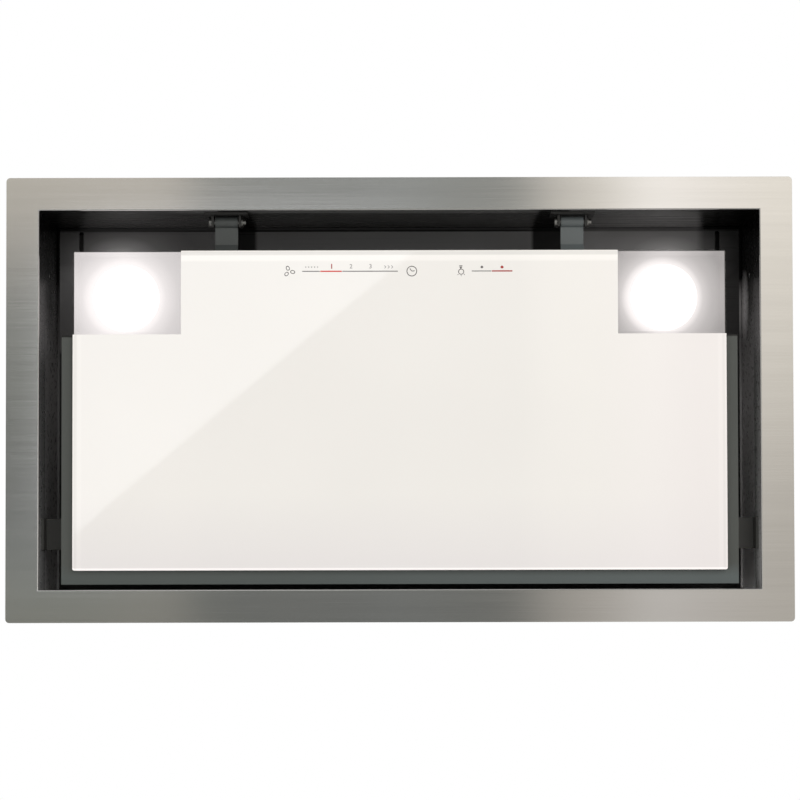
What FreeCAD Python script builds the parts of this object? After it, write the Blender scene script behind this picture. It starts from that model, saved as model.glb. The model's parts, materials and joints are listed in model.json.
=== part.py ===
import FreeCAD, Part
import math
import os
import re

import Sketcher

# Ceiling range hood insert with perimeter suction, lit glass panel, grease filter and blower.
#
# Millimetres. X runs to the right and Y to the rear, as a cook standing at the front sees it, and Z
# up. The origin is the centre of the rim at its upper face, the plane where it meets the ceiling or
# cabinet: the rim and the panel's face hang just below Z = 0, and the casing rises above it.

# ---------------------------------------------------------------- driving dimensions

SIZES = {
    # rim and recess
    "rim_width": 500.0,
    "rim_depth": 283.0,
    "rim_face": 21.0,
    "rim_thick": 2.0,
    "rim_corner": 2.5,
    "upstand_thick": 1.0,
    "upstand_height": 25.0,
    # casing
    "sheet": 1.0,
    "lower_height": 92.0,
    "casing_foot": 3.0,
    "deck_edge": 11.5,
    "upper_flange": 9.0,
    "deck_margin": 10.0,
    "foot_screw_corner_x": 53.0,
    "foot_screw_corner_y": 31.0,
    "fixing_radius": 2.25,
    "fixing_height": 48.0,
    "fixing_spacing": 170.0,
    # ledge that carries the grease filter
    "ledge_drop": 13.0,
    "ledge_side": 13.7,
    "ledge_front": 34.0,
    "ledge_lip": 9.0,
    "ledge_clear": 0.2,
    "seam_width": 3.0,
    "seam_inset": 4.0,
    "relief_radius": 1.6,
    # glass panel and its backing
    "glass_thick": 4.0,
    "glass_inset": 1.5,
    "glass_front_gap": 25.3,
    "glass_side_gap": 21.0,
    "glass_rear_gap": 12.0,
    "glass_corner": 1.5,
    "glass_bevel": 0.6,
    "window_width": 69.0,
    "window_depth": 53.5,
    "tape_thick": 0.5,
    "tape_width": 20.0,
    "tape_inset": 6.0,
    "tray_side_overhang": 7.5,
    "tray_rear_overhang": 8.8,
    "tray_sheet": 1.0,
    "tray_wall": 12.0,
    # panel hinge
    "hinge_behind_rim": 5.4,
    "hinge_rise": 14.0,
    "hinge_window_gap": 28.0,
    "pin_radius": 2.0,
    "pin_head_rim": 1.4,
    "pin_head_thick": 1.6,
    "pin_head_gap": 0.1,
    "pin_tail": 3.0,
    "clip_rim": 1.6,
    "clip_thick": 0.8,
    "clip_gap": 0.2,
    "arm_width": 14.6,
    "arm_thick": 1.5,
    "arm_eye_wall": 1.55,
    "arm_length": 125.0,
    "arm_flat": 14.5,
    "arm_ramp": 10.0,
    "arm_screw_end": 9.0,
    "arm_screw_pitch": 25.0,
    "pad_inset": 1.0,
    "pad_end_gap": 2.0,
    "bracket_sheet": 1.5,
    "bracket_height": 17.0,
    "bracket_drop": 1.0,
    "bracket_wing": 4.5,
    "ear_gap": 0.7,
    "ear_reach": 3.2,
    "ear_margin": 4.8,
    # lamps
    "lamp_height": 24.0,
    "lamp_wall": 1.2,
    "lamp_margin": 0.5,
    "lamp_plate_height": 15.5,
    "lens_margin": 5.75,
    "lens_shift_x": -2.9,
    "lens_shift_y": 1.5,
    "lens_flange": 2.0,
    "lens_flange_thick": 1.0,
    "lens_drop": 2.5,
    "lens_crown": 0.8,
    "lens_round": 1.5,
    "lens_gap": 0.3,
    "board_thick": 1.6,
    "led_board_width": 44.0,
    "led_board_depth": 38.0,
    "led_size": 3.2,
    "led_height": 0.7,
    "led_pitch": 10.0,
    # touch control behind the glass
    "control_hinge_gap": 26.0,
    "control_depth": 28.0,
    "control_height": 12.0,
    "control_wall": 1.5,
    "control_front_gap": 1.0,
    "control_clear": 0.5,
    "socket_width": 18.0,
    "socket_depth": 6.0,
    "socket_height": 7.0,
    "socket_back": 6.0,
    "lead_slot": 12.0,
    # panel catches
    "catch_width": 20.0,
    "catch_setback": 35.5,
    "catch_leg": 12.0,
    "magnet_thick": 3.0,
    "magnet_inset": 1.0,
    "strike_thick": 1.5,
    "strike_reach": 9.5,
    "strike_leg": 8.0,
    # grease filter
    "filter_clear": 1.0,
    "filter_lift": 0.5,
    "filter_thick": 9.0,
    "filter_rail": 11.0,
    "filter_skin": 1.0,
    "mesh_cell_length": 17.6,
    "mesh_cell_width": 13.0,
    "mesh_bridge": 3.0,
    "tab_width": 20.0,
    "tab_reach": 8.0,
    "tab_thick": 1.5,
    "tab_spacing": 240.0,
    "ledge_catch_foot": 10.0,
    "ledge_catch_gap": 2.0,
    # pull under the filter
    "handle_width": 40.0,
    "handle_drop": 12.0,
    "handle_wire": 1.5,
    "handle_tip": 1.5,
    "handle_side_gap": 1.0,
    "handle_ear": 7.0,
    "handle_ear_edge": 1.0,
    "handle_sheet": 1.5,
    "handle_plate": 8.0,
    # outlet spigot and its flaps
    "spigot_rear_gap": 13.0,
    "spigot_flange": 8.5,
    "spigot_wall": 2.0,
    "spigot_height": 42.0,
    "spigot_back": 15.0,
    "spigot_base_thick": 3.0,
    "stop_reach": 3.5,
    "stop_thick": 2.0,
    "flap_height": 14.0,
    "flap_thick": 1.5,
    "flap_clear": 1.5,
    "flap_pin_radius": 1.5,
    "flap_pin_seat": 1.0,
    "knuckle_wall": 1.6,
    "knuckle_room": 14.0,
    "knuckle_gap": 1.0,
    "knuckle_clear": 0.4,
    # blower
    "scroll_growth": 9.0,
    "scroll_front_gap": 3.5,
    "scroll_roof_gap": 12.0,
    "scroll_wall": 2.0,
    "scroll_floor_gap": 4.0,
    "scroll_lug": 16.0,
    "scroll_lug_thick": 3.0,
    "lug_margin": 2.0,
    "lug_screw_edge": 14.5,
    "inlet_lap": 10.0,
    "impeller_tip_gap": 10.0,
    "impeller_side_gap": 10.0,
    "impeller_ring": 3.0,
    "impeller_disc": 2.0,
    "blade_count": 36.0,
    "blade_depth": 9.0,
    "blade_sweep": 4.0,
    "blade_thick": 1.0,
    "blade_inset": 0.5,
    "hub_radius": 10.0,
    "hub_length": 10.0,
    "shaft_radius": 4.0,
    "shaft_tail": 8.0,
    "bearing_depth": 12.0,
    "bearing_spare": 2.0,
    "motor_air_gap": 16.0,
    "motor_gap": 8.0,
    "grommet_radius": 5.5,
    "grommet_thick": 4.0,
    "spider_thick": 2.5,
    "spider_hub_step": 8.0,
    "spider_arm": 11.0,
    "spider_seat": 6.0,
    "spider_tip": 6.0,
    # electrics on the casing top
    "box_width": 70.0,
    "box_depth": 140.0,
    "box_height": 34.0,
    "box_wall": 2.0,
    "box_side_gap": 5.0,
    "box_spigot_gap": 7.0,
    "post_radius": 4.2,
    "post_inset": 6.0,
    "post_hole": 12.0,
    "wire_hole_back": 30.0,
    "power_width": 48.0,
    "power_depth": 50.0,
    "power_front": 44.0,
    "relay_width": 12.0,
    "relay_depth": 16.0,
    "relay_height": 14.0,
    "relay_pitch": 17.0,
    "transformer_width": 30.0,
    "transformer_depth": 22.0,
    "transformer_height": 18.0,
    "block_inset": 1.0,
    "strip_width": 30.0,
    "strip_depth": 16.0,
    "strip_height": 16.0,
    "strip_front": 20.0,
    "well_radius": 2.6,
    "well_depth": 10.0,
    "well_pitch": 10.0,
    "gland_bore": 4.0,
    "gland_radius": 9.0,
    "gland_neck": 8.0,
    "gland_inside": 8.8,
    "gland_outside": 13.2,
    "gland_collar": 5.0,
    "gland_collar_rim": 1.5,
    "gland_round": 2.5,
    "gland_nut_radius": 11.2,
    "capacitor_radius": 17.0,
    "capacitor_length": 58.0,
    "capacitor_side_gap": 18.0,
    "capacitor_front_gap": 24.0,
    "stud_radius": 4.0,
    "stud_length": 7.0,
    # springs on the casing's sides
    "spring_width": 18.0,
    "spring_thick": 0.8,
    "spring_bulge": 11.0,
    "spring_flat": 12.0,
    "spring_knee": 34.0,
    "spring_length": 62.0,
    "spring_foot_gap": 1.5,
    "spring_spacing": 120.0,
    "spring_rise": 10.0,
    # fasteners, and gaps used all over
    "screw_radius": 2.0,
    "screw_head_radius": 3.8,
    "screw_head": 2.4,
    "screw_spare": 2.0,
    "rivet_radius": 1.6,
    "rivet_head_radius": 2.8,
    "rivet_head": 1.0,
    "rivet_inset": 5.0,
    "nut_radius": 7.0,
    "nut_thick": 5.0,
    "running_gap": 0.05,
    "seat_gap": 0.3,
    "overcut": 1.0,
}

# Sizes that follow from the driving ones. A formula may use the cells and the other names here.
DERIVED = {
    "recess_x": "rim_width/2 - rim_face",
    "recess_y": "rim_depth/2 - rim_face",
    "wall_x": "recess_x + upstand_thick",
    "wall_y": "recess_y + upstand_thick",
    "casing_x": "wall_x + sheet",
    "casing_y": "wall_y + sheet",
    "deck_under": "lower_height - sheet",
    "upper_x": "spigot_half + box_spigot_gap + box_width + box_side_gap",
    "upper_y": "casing_y - deck_edge",
    "upper_height": "scroll_floor_gap + 2*scroll_radius + scroll_growth + scroll_roof_gap + sheet",
    "casing_top": "lower_height + upper_height",
    "top_under": "casing_top - sheet",
    "foot_screw_x": "upper_x - foot_screw_corner_x",
    "foot_screw_y": "upper_y - foot_screw_corner_y",
    "ledge_height": "lower_height - ledge_drop",
    "ledge_x": "wall_x - ledge_clear",
    "ledge_y": "wall_y - ledge_clear",
    "ledge_top": "ledge_height + sheet",
    "opening_x": "recess_x - ledge_side",
    "opening_front": "ledge_front - recess_y",
    "opening_rear": "recess_y - ledge_side",
    "seam_x": "opening_x - seam_width/2",
    "glass_low": "glass_inset - rim_thick",
    "glass_back": "glass_low + glass_thick",
    "glass_front": "glass_front_gap - recess_y",
    "glass_rear": "recess_y - glass_rear_gap",
    "glass_x": "recess_x - glass_side_gap",
    "glass_y": "(glass_rear - glass_front)/2",
    "tray_low": "glass_back + tape_thick",
    "tray_top": "tray_low + tray_sheet",
    "tray_rim": "tray_low + tray_wall",
    "tray_x": "glass_x + tray_side_overhang",
    "tray_front": "glass_front + window_depth + seat_gap",
    "tray_rear": "glass_rear + tray_rear_overhang",
    "hinge_y": "hinge_behind_rim - recess_y",
    "hinge_x": "glass_x - window_width - hinge_window_gap",
    "eye_bore": "pin_radius + running_gap",
    "eye_radius": "eye_bore + arm_eye_wall",
    "ear_x": "arm_width/2 + ear_gap",
    "ear_out": "ear_x + bracket_sheet",
    "lamp_x": "glass_x - window_width/2",
    "lamp_y": "glass_front + window_depth/2",
    "lamp_half_x": "window_width/2 - lamp_margin",
    "lamp_half_y": "window_depth/2 - lamp_margin",
    "lamp_top": "glass_back + lamp_height",
    "lamp_plate": "glass_back + lamp_plate_height",
    "lens_radius": "window_depth/2 - lens_margin",
    "lamp_plate_top": "lamp_plate + lamp_wall",
    "control_x": "hinge_x - control_hinge_gap",
    "control_front": "glass_front + control_front_gap",
    "control_rear": "control_front + control_depth",
    "control_top": "glass_back + control_height",
    "catch_y": "recess_y - catch_setback",
    "strike_top": "tray_rim + strike_thick",
    "magnet_low": "strike_top + seat_gap",
    "magnet_top": "magnet_low + magnet_thick",
    "filter_low": "ledge_height + filter_lift",
    "filter_top": "filter_low + filter_thick",
    "filter_x": "opening_x - filter_clear",
    "filter_front": "opening_front + filter_clear",
    "filter_rear": "opening_rear - filter_clear",
    "pack_gap": "filter_skin + seat_gap",
    "filter_magnet_top": "filter_top + seat_gap + magnet_thick",
    "handle_leg": "handle_width/2 - handle_wire",
    "handle_ear_x": "handle_width/2 + handle_side_gap",
    "handle_ear_out": "handle_ear_x + handle_sheet",
    "handle_foot": "filter_low - filter_skin - handle_ear",
    "handle_axis": "handle_foot + handle_ear_edge + handle_wire",
    "handle_y": "filter_front + filter_rail/2",
    "spigot_half": "upper_y - spigot_back - spigot_rear_gap",
    "spigot_radius": "spigot_half - spigot_flange",
    "spigot_inner": "spigot_radius - spigot_wall",
    "flap_axis": "casing_top + flap_height",
    "knuckle_bore": "flap_pin_radius + running_gap",
    "knuckle_radius": "knuckle_bore + knuckle_wall",
    "flap_edge": "knuckle_radius + knuckle_clear",
    "flap_radius": "spigot_inner - flap_clear",
    "knuckle_width": "(flap_radius - knuckle_room - 2*knuckle_gap)/2.5",
    "flap_pin_end": "spigot_inner + flap_pin_seat",
    "scroll_radius": "(upper_y - sheet - scroll_front_gap + spigot_back)/1.5 - scroll_growth",
    "scroll_half_width": "spigot_half - scroll_lug - lug_margin",
    "fan_y": "spigot_back - scroll_radius/2 - 1.5*scroll_growth",
    "fan_z": "lower_height + scroll_floor_gap + scroll_radius + scroll_growth",
    "throat_height": "top_under - fan_z",
    "throat_depth": "scroll_radius + 3*scroll_growth",
    "impeller_radius": "scroll_radius - impeller_tip_gap",
    "impeller_half_width": "scroll_half_width - impeller_side_gap",
    "impeller_inner": "impeller_radius - blade_depth",
    "inlet_radius": "impeller_radius - inlet_lap",
    "motor_radius": "inlet_radius - motor_air_gap",
    "spider_hub_radius": "motor_radius - spider_hub_step",
    "spider_reach": "inlet_radius + spider_seat",
    "lug_screw_y": "throat_depth/2 - lug_screw_edge",
    "lug_screw_x": "scroll_half_width + (scroll_lug + scroll_wall)/2",
    "spider_inner": "scroll_half_width + grommet_thick",
    "box_left": "box_side_gap - upper_x",
    "box_right": "box_left + box_width",
    "box_front": "box_side_gap - upper_y",
    "box_rear": "box_front + box_depth",
    "box_floor": "casing_top + box_wall",
    "box_top": "casing_top + box_height",
    "gland_x": "(box_left + box_right)/2",
    "gland_z": "casing_top + box_height/2",
    "wire_hole_y": "box_rear - wire_hole_back",
    "capacitor_x": "upper_x - capacitor_radius - capacitor_side_gap",
    "capacitor_y": "capacitor_radius + capacitor_front_gap - upper_y",
    "spring_top": "ledge_height + spring_rise",
    "rivet_z": "spring_top - rivet_inset",
}

SIDES = ((-1, "left"), (1, "right"))

DOC = FreeCAD.newDocument("ceiling_range_hood")
SHEET = DOC.addObject("Spreadsheet::Sheet", "Sizes")
NODES = {}


def fill_sheet():
    """Each driving size gets a cell with its own alias."""
    for row, (alias, value) in enumerate(SIZES.items(), 1):
        SHEET.set(f"A{row}", alias)
        SHEET.set(f"B{row}", str(value))
        SHEET.setAlias(f"B{row}", alias)
    DOC.recompute()


def formula(text):
    """The spreadsheet expression for a formula in plain names."""

    def spell(match):
        word = match.group(0)
        if word in SIZES:
            return f"Sizes.{word}"
        if word in DERIVED:
            return f"({formula(DERIVED[word])})"
        return word

    return re.sub(r"[a-z_]+[a-z0-9_]*", spell, str(text))


def number(text):
    """What a formula comes to with the sheet as it stands."""
    return float(SHEET.evalExpression(formula(text)))


def bind(thing, **properties):
    """Binds properties to formulas; a double underscore in a name stands for a dot."""
    for name, text in properties.items():
        thing.setExpression(name.replace("__", "."), formula(text))
    return thing


def move(thing, x="0", y="0", z="0"):
    """Binds where an object stands."""
    return bind(thing, Placement__Base__x=x, Placement__Base__y=y, Placement__Base__z=z)


def node(name, thing):
    """Names a finished sub-part: its label becomes its file's name."""
    thing.Label = name
    NODES[name] = thing
    return thing


# ---------------------------------------------------------------- primitives and booleans


def box(x, y, z):
    """A box from the low and high formula of each axis."""
    thing = DOC.addObject("Part::Box", "block")
    (x0, x1), (y0, y1), (z0, z1) = x, y, z
    bind(thing, Length=f"({x1}) - ({x0})", Width=f"({y1}) - ({y0})", Height=f"({z1}) - ({z0})")
    return move(thing, x0, y0, z0)


def about(middle, half):
    """The low and high formula of a stretch about its middle."""
    return f"({middle}) - ({half})", f"({middle}) + ({half})"


TURNS = {
    "+z": FreeCAD.Rotation(),
    "-z": FreeCAD.Rotation(FreeCAD.Vector(1, 0, 0), 180),
    "+x": FreeCAD.Rotation(FreeCAD.Vector(0, 1, 0), 90),
    "-x": FreeCAD.Rotation(FreeCAD.Vector(0, 1, 0), -90),
    "-y": FreeCAD.Rotation(FreeCAD.Vector(1, 0, 0), 90),
}
OPPOSITE = {"+z": "-z", "-z": "+z", "+x": "-x", "-x": "+x"}


def cylinder(place, radius, height, way="+z"):
    """A cylinder that starts at a place and runs one way along an axis."""
    thing = DOC.addObject("Part::Cylinder", "round")
    thing.Placement = FreeCAD.Placement(FreeCAD.Vector(), TURNS[way])
    bind(thing, Radius=radius, Height=height)
    return move(thing, *place)


def drill(place, radius, depth, way="-z"):
    """A cutter for a hole from a place on a face, a little longer than its depth at both ends."""
    start = list(place)
    axis = "xyz".index(way[1])
    start[axis] += " - overcut" if way[0] == "+" else " + overcut"
    return cylinder(start, radius, f"{depth} + 2*overcut", way)


def fuse(*things):
    whole = DOC.addObject("Part::MultiFuse", "joined")
    whole.Shapes = list(things)
    return whole


def cut(base, *tools):
    result = DOC.addObject("Part::Cut", "opened")
    result.Base = base
    result.Tool = tools[0] if len(tools) == 1 else fuse(*tools)
    return result


def group(*things):
    """Several separate solids kept under one name."""
    whole = DOC.addObject("Part::Compound", "set")
    whole.Links = list(things)
    return whole


def headed(place, way, shank, kind="screw"):
    """A pan-head screw or rivet: the head sits at its place and the shank runs the way named."""
    head = cylinder(place, f"{kind}_head_radius", f"{kind}_head", OPPOSITE[way])
    return fuse(head, cylinder(place, f"{kind}_radius", shank, way))


def screws(name, places, way, shank):
    node(name, group(*[headed(place, way, shank) for place in places]))


# ---------------------------------------------------------------- bodies and sketches


def body(name):
    return DOC.addObject("PartDesign::Body", name)


def sketch(owner, plane, offset="0"):
    """A sketch on one of its body's origin planes, moved along that plane's normal."""
    drawing = owner.newObject("Sketcher::SketchObject", f"{owner.Name}_sketch")
    base = [feature for feature in owner.Origin.OriginFeatures if feature.Role == plane]
    drawing.AttachmentSupport = [(base[0], "")]
    drawing.MapMode = "FlatFace"
    return bind(drawing, AttachmentOffset__Base__z=offset)


def pin_point(drawing, edge, end, x, y):
    """Fixes one end of an edge at its two formulas."""
    for kind, text in (("DistanceX", x), ("DistanceY", y)):
        index = drawing.addConstraint(Sketcher.Constraint(kind, -1, 1, edge, end, number(text)))
        drawing.setExpression(f"Constraints[{index}]", formula(text))


def pin_radius(drawing, edge, radius):
    """Fixes the radius of an arc or a circle."""
    index = drawing.addConstraint(Sketcher.Constraint("Radius", edge, number(radius)))
    drawing.setExpression(f"Constraints[{index}]", formula(radius))


def arc_between(start, end, radius, anticlockwise):
    """The arc of a given radius, under half a turn, from one point to another."""
    chord = end - start
    side = FreeCAD.Vector(-chord.y, chord.x, 0).normalize()
    rise = math.sqrt(max(radius**2 - (chord.Length / 2) ** 2, 0.0))
    centre = (start + end) / 2 + side * (rise if anticlockwise else -rise)
    first, last = (start, end) if anticlockwise else (end, start)
    angles = [math.atan2(point.y - centre.y, point.x - centre.x) for point in (first, last)]
    return Part.ArcOfCircle(Part.Circle(centre, FreeCAD.Vector(0, 0, 1), radius), *angles)


def outline(drawing, corners, arcs=None, closed=True):
    """A line through corners, each a pair of formulas.

    arcs maps a corner's index to (radius, anticlockwise) where the edge that leaves it is an arc.
    """
    arcs = arcs or {}
    first = drawing.GeometryCount
    points = [FreeCAD.Vector(number(x), number(y), 0) for x, y in corners]
    count = len(points) if closed else len(points) - 1
    ends = []
    for index in range(count):
        start, end = points[index], points[(index + 1) % len(points)]
        if index in arcs:
            radius, anticlockwise = arcs[index]
            drawing.addGeometry(arc_between(start, end, number(radius), anticlockwise), False)
            ends.append((1, 2) if anticlockwise else (2, 1))
        else:
            drawing.addGeometry(Part.LineSegment(start, end), False)
            ends.append((1, 2))
    for index in range(count if closed else count - 1):
        after = (index + 1) % count
        join = (first + index, ends[index][1], first + after, ends[after][0])
        drawing.addConstraint(Sketcher.Constraint("Coincident", *join))
    for index in range(count):
        pin_point(drawing, first + index, ends[index][0], *corners[index])
        if index in arcs:
            pin_radius(drawing, first + index, arcs[index][0])
    if not closed:
        pin_point(drawing, first + count - 1, ends[-1][1], *corners[-1])
    return drawing


def rectangle(drawing, x, y):
    """A rectangle from the low and high formula of each side."""
    return outline(drawing, [(x[0], y[0]), (x[1], y[0]), (x[1], y[1]), (x[0], y[1])])


def circle(drawing, x, y, radius):
    centre = FreeCAD.Vector(number(x), number(y), 0)
    edge = drawing.addGeometry(Part.Circle(centre, FreeCAD.Vector(0, 0, 1), number(radius)), False)
    pin_point(drawing, edge, 3, x, y)
    pin_radius(drawing, edge, radius)
    return drawing


def hexagon(drawing, radius):
    """A regular hexagon about the sketch's origin, by its corner radius."""
    angles = [math.radians(60 * step) for step in range(6)]
    corners = [(f"{radius}*{math.cos(a):.6f}", f"{radius}*{math.sin(a):.6f}") for a in angles]
    return outline(drawing, corners)


def feature(owner, kind, drawing, **sizes):
    """A sketch-based feature of a body, with its sizes bound."""
    made = owner.newObject(f"PartDesign::{kind}", f"{owner.Name}_{kind.lower()}")
    made.Profile = drawing
    drawing.Visibility = False
    return bind(made, **sizes)


def pad(owner, drawing, length, midplane=False, reversed_way=False):
    made = feature(owner, "Pad", drawing, Length=length)
    made.SideType = "Symmetric" if midplane else "One side"
    made.Reversed = reversed_way
    return made


def pocket(owner, drawing, depth, midplane=False, reversed_way=False):
    made = feature(owner, "Pocket", drawing, Length=depth)
    made.SideType = "Symmetric" if midplane else "One side"
    made.Reversed = reversed_way
    return made


def revolve(owner, drawing, axis):
    made = feature(owner, "Revolution", drawing)
    made.ReferenceAxis = (drawing, [axis])
    made.Angle = 360
    return made


def dress(owner, kind, picks, **sizes):
    """A Fillet or Chamfer on the edges of the body's last feature that picks accepts."""
    DOC.recompute()
    base = owner.Tip
    edges = [f"Edge{index}" for index, edge in enumerate(base.Shape.Edges, 1) if picks(edge)]
    made = owner.newObject(f"PartDesign::{kind}", f"{owner.Name}_{kind.lower()}")
    made.Base = (base, edges)
    return bind(made, **sizes)


def outer_upright(half_x, half_y):
    """Picks the upright edges at the corners of a rectangle about the origin."""

    def picks(edge):
        size = edge.BoundBox
        upright = size.XLength < 1e-6 and size.YLength < 1e-6
        return upright and abs(abs(size.XMin) - half_x) < 0.01 and abs(abs(size.YMin) - half_y) < 0.01

    return picks


def ring_nut(name, plane, corner_radius, bore_radius, reversed_way=False):
    """A hexagonal nut on one of the origin planes."""
    owner = body(name)
    flats = sketch(owner, plane)
    hexagon(flats, corner_radius)
    pad(owner, flats, "nut_thick", reversed_way=reversed_way)
    bore = sketch(owner, plane)
    circle(bore, "0", "0", bore_radius)
    pocket(owner, bore, "4*nut_thick", midplane=True)
    return node(name, owner)


# ---------------------------------------------------------------- rim, casing and ledge


def rim_frame():
    """Stainless rim: a flat face with rounded corners and an upstand folded up around the recess."""
    owner = body("rim_frame")
    face = sketch(owner, "XY_Plane", "-rim_thick")
    rectangle(face, about("0", "rim_width/2"), about("0", "rim_depth/2"))
    pad(owner, face, "rim_thick")
    corners = outer_upright(number("rim_width/2"), number("rim_depth/2"))
    dress(owner, "Fillet", corners, Radius="rim_corner")
    stand = sketch(owner, "XY_Plane", "-rim_thick")
    rectangle(stand, about("0", "wall_x"), about("0", "wall_y"))
    pad(owner, stand, "upstand_height")
    hole = sketch(owner, "XY_Plane", "-rim_thick")
    rectangle(hole, about("0", "recess_x"), about("0", "recess_y"))
    pocket(owner, hole, "upstand_height", reversed_way=True)
    node("rim_frame", owner)


def foot_screw_places():
    """Where the upper casing's flange is screwed to the deck."""
    side_x, side_y = "(upper_x + upper_flange/2)", "(upper_y + upper_flange/2)"
    ends = (-1, 1)
    places = [(f"{side}*{side_x}", f"{step}*(foot_screw_y)") for side in ends for step in (-1, 0, 1)]
    return places + [(f"{step}*(foot_screw_x)", f"{side}*{side_y}") for side in ends for step in ends]


def lower_casing():
    """Folded steel box around the recess, with a deck on top and holes for the fixing screws.

    It laps the rim's upstand and stops short of the rim, so that the rim's face seats all round.
    """
    shell = box(about("0", "casing_x"), about("0", "casing_y"), ("casing_foot", "lower_height"))
    hollow = box(about("0", "wall_x"), about("0", "wall_y"), ("-overcut", "deck_under"))
    opening = box(
        about("0", "upper_x - deck_margin"),
        about("0", "upper_y - deck_margin"),
        about("lower_height - sheet/2", "sheet"),
    )
    tools = [hollow, opening]
    tools += [drill((x, y, "lower_height"), "screw_radius", "sheet") for x, y in foot_screw_places()]
    for side, way in ((-1, "-x"), (1, "+x")):
        for end in (-1, 1):
            fixing = (f"{side}*(wall_x)", f"{end}*fixing_spacing/2", "fixing_height")
            rivet = (f"{side}*(wall_x)", f"{end}*spring_spacing/2", "rivet_z")
            tools.append(drill(fixing, "fixing_radius", "sheet", way))
            tools.append(drill(rivet, "rivet_radius", "sheet", way))
    node("lower_casing", cut(shell, *tools))


def ledge_frame():
    """Inner ledge all round the recess: it closes the top of the walls and carries the filter."""
    outer = box(about("0", "ledge_x"), about("0", "ledge_y"), ("ledge_height", "ledge_top + ledge_lip"))
    well = box(
        about("0", "ledge_x - sheet"),
        about("0", "ledge_y - sheet"),
        ("ledge_top", "ledge_top + ledge_lip + overcut"),
    )
    through = ("ledge_height - overcut", "ledge_top + overcut")
    opening = box(about("0", "opening_x"), ("opening_front", "opening_rear"), through)
    tools = [well, opening]
    for side, _ in SIDES:
        seam_end = "seam_inset - ledge_y"
        seam = box(about(f"{side}*(seam_x)", "seam_width/2"), (seam_end, "opening_front + overcut"), through)
        tools += [seam, drill((f"{side}*(seam_x)", seam_end, "ledge_top"), "relief_radius", "sheet")]
    node("ledge_frame", cut(outer, *tools))


def upper_casing():
    """Motor box on the deck: four walls and a top, with a flange around its foot."""
    wall = box(about("0", "upper_x"), about("0", "upper_y"), ("lower_height", "casing_top"))
    flange = box(
        about("0", "upper_x + upper_flange"),
        about("0", "upper_y + upper_flange"),
        ("lower_height", "lower_height + sheet"),
    )
    hollow = box(
        about("0", "upper_x - sheet"),
        about("0", "upper_y - sheet"),
        ("lower_height - overcut", "top_under"),
    )
    tools = [
        hollow,
        drill(("0", "spigot_back", "casing_top"), "spigot_inner", "sheet"),
        drill(("capacitor_x", "capacitor_y", "casing_top"), "stud_radius", "sheet"),
        drill(("gland_x", "wire_hole_y", "casing_top"), "gland_neck", "sheet"),
    ]
    foot = "lower_height + sheet"
    tools += [drill((x, y, foot), "screw_radius", "sheet") for x, y in foot_screw_places()]
    tools += [drill((x, y, "casing_top"), "screw_radius", "sheet") for x, y in lug_screw_places()]
    node("upper_casing", cut(fuse(wall, flange), *tools))
    places = [(x, y, foot) for x, y in foot_screw_places()]
    screws("casing_screws", places, "-z", "2*sheet + screw_spare")


# ---------------------------------------------------------------- outlet spigot and flaps


def lug_screw_places():
    """The screws that hold spigot, casing top and scroll together."""
    ends = (-1, 1)
    return [
        (f"{side}*(lug_screw_x)", f"spigot_back + {end}*(lug_screw_y)") for side in ends for end in ends
    ]


def duct_spigot():
    """Round outlet on a square foot, with an inner stop for the two flaps and seats for their pin."""
    foot_z = ("casing_top", "casing_top + spigot_base_thick")
    foot = box(about("0", "spigot_half"), about("spigot_back", "spigot_half"), foot_z)
    tube = cylinder(("0", "spigot_back", "casing_top"), "spigot_radius", "spigot_height")
    bore = drill(("0", "spigot_back", "casing_top"), "spigot_inner", "spigot_height", "+z")
    tools = [drill((x, y, foot_z[1]), "screw_radius", "spigot_base_thick") for x, y in lug_screw_places()]
    stop_low = ("0", "spigot_back", "flap_axis - flap_thick/2 - seat_gap - stop_thick")
    stop = cut(
        cylinder(stop_low, "spigot_inner + spigot_wall/4", "stop_thick"),
        drill(stop_low, "spigot_inner - stop_reach", "stop_thick", "+z"),
    )
    shell = fuse(cut(fuse(foot, tube), bore, *tools), stop)
    pin_start = ("-(flap_pin_end)", "spigot_back", "flap_axis")
    seat = cylinder(pin_start, "flap_pin_radius", "2*(flap_pin_end)", "+x")
    node("duct_spigot", cut(shell, seat))
    node("flap_pin", cylinder(pin_start, "flap_pin_radius", "2*(flap_pin_end)", "+x"))
    places = [(x, y, foot_z[1]) for x, y in lug_screw_places()]
    screws("spigot_screws", places, "-z", "spigot_base_thick + sheet + scroll_lug_thick + screw_spare")


def flap(side, name):
    """One half-moon flap with two knuckles on the shared pin; side is -1 at the front, 1 at the rear."""
    owner = body(name)
    low = "-flap_thick/2"
    plate = sketch(owner, "XY_Plane", low)
    reach = "sqrt(pow(flap_radius; 2) - pow(flap_edge; 2))"
    corners = [(f"{-side}*({reach})", f"{side}*(flap_edge)"), (f"{side}*({reach})", f"{side}*(flap_edge)")]
    corners.append(("0", f"{side}*(flap_radius)"))
    outline(plate, corners, {1: ("flap_radius", True), 2: ("flap_radius", True)})
    pad(owner, plate, "flap_thick")
    for place in (-1, 1):
        middle = f"({place}*1.5 + {side}*0.5)*(knuckle_width + knuckle_gap)"
        web = sketch(owner, "XY_Plane", low)
        across = sorted(["0", f"{side}*(flap_edge + flap_thick)"], key=number)
        rectangle(web, about(middle, "knuckle_width/2"), across)
        pad(owner, web, "flap_thick")
        barrel = sketch(owner, "YZ_Plane", middle)
        circle(barrel, "0", "0", "knuckle_radius")
        pad(owner, barrel, "knuckle_width", midplane=True)
    bore = sketch(owner, "YZ_Plane")
    circle(bore, "0", "0", "knuckle_bore")
    pocket(owner, bore, "4*(flap_radius)", midplane=True)
    move(owner, y="spigot_back", z="flap_axis")
    node(name, owner)


# ---------------------------------------------------------------- blower


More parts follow.
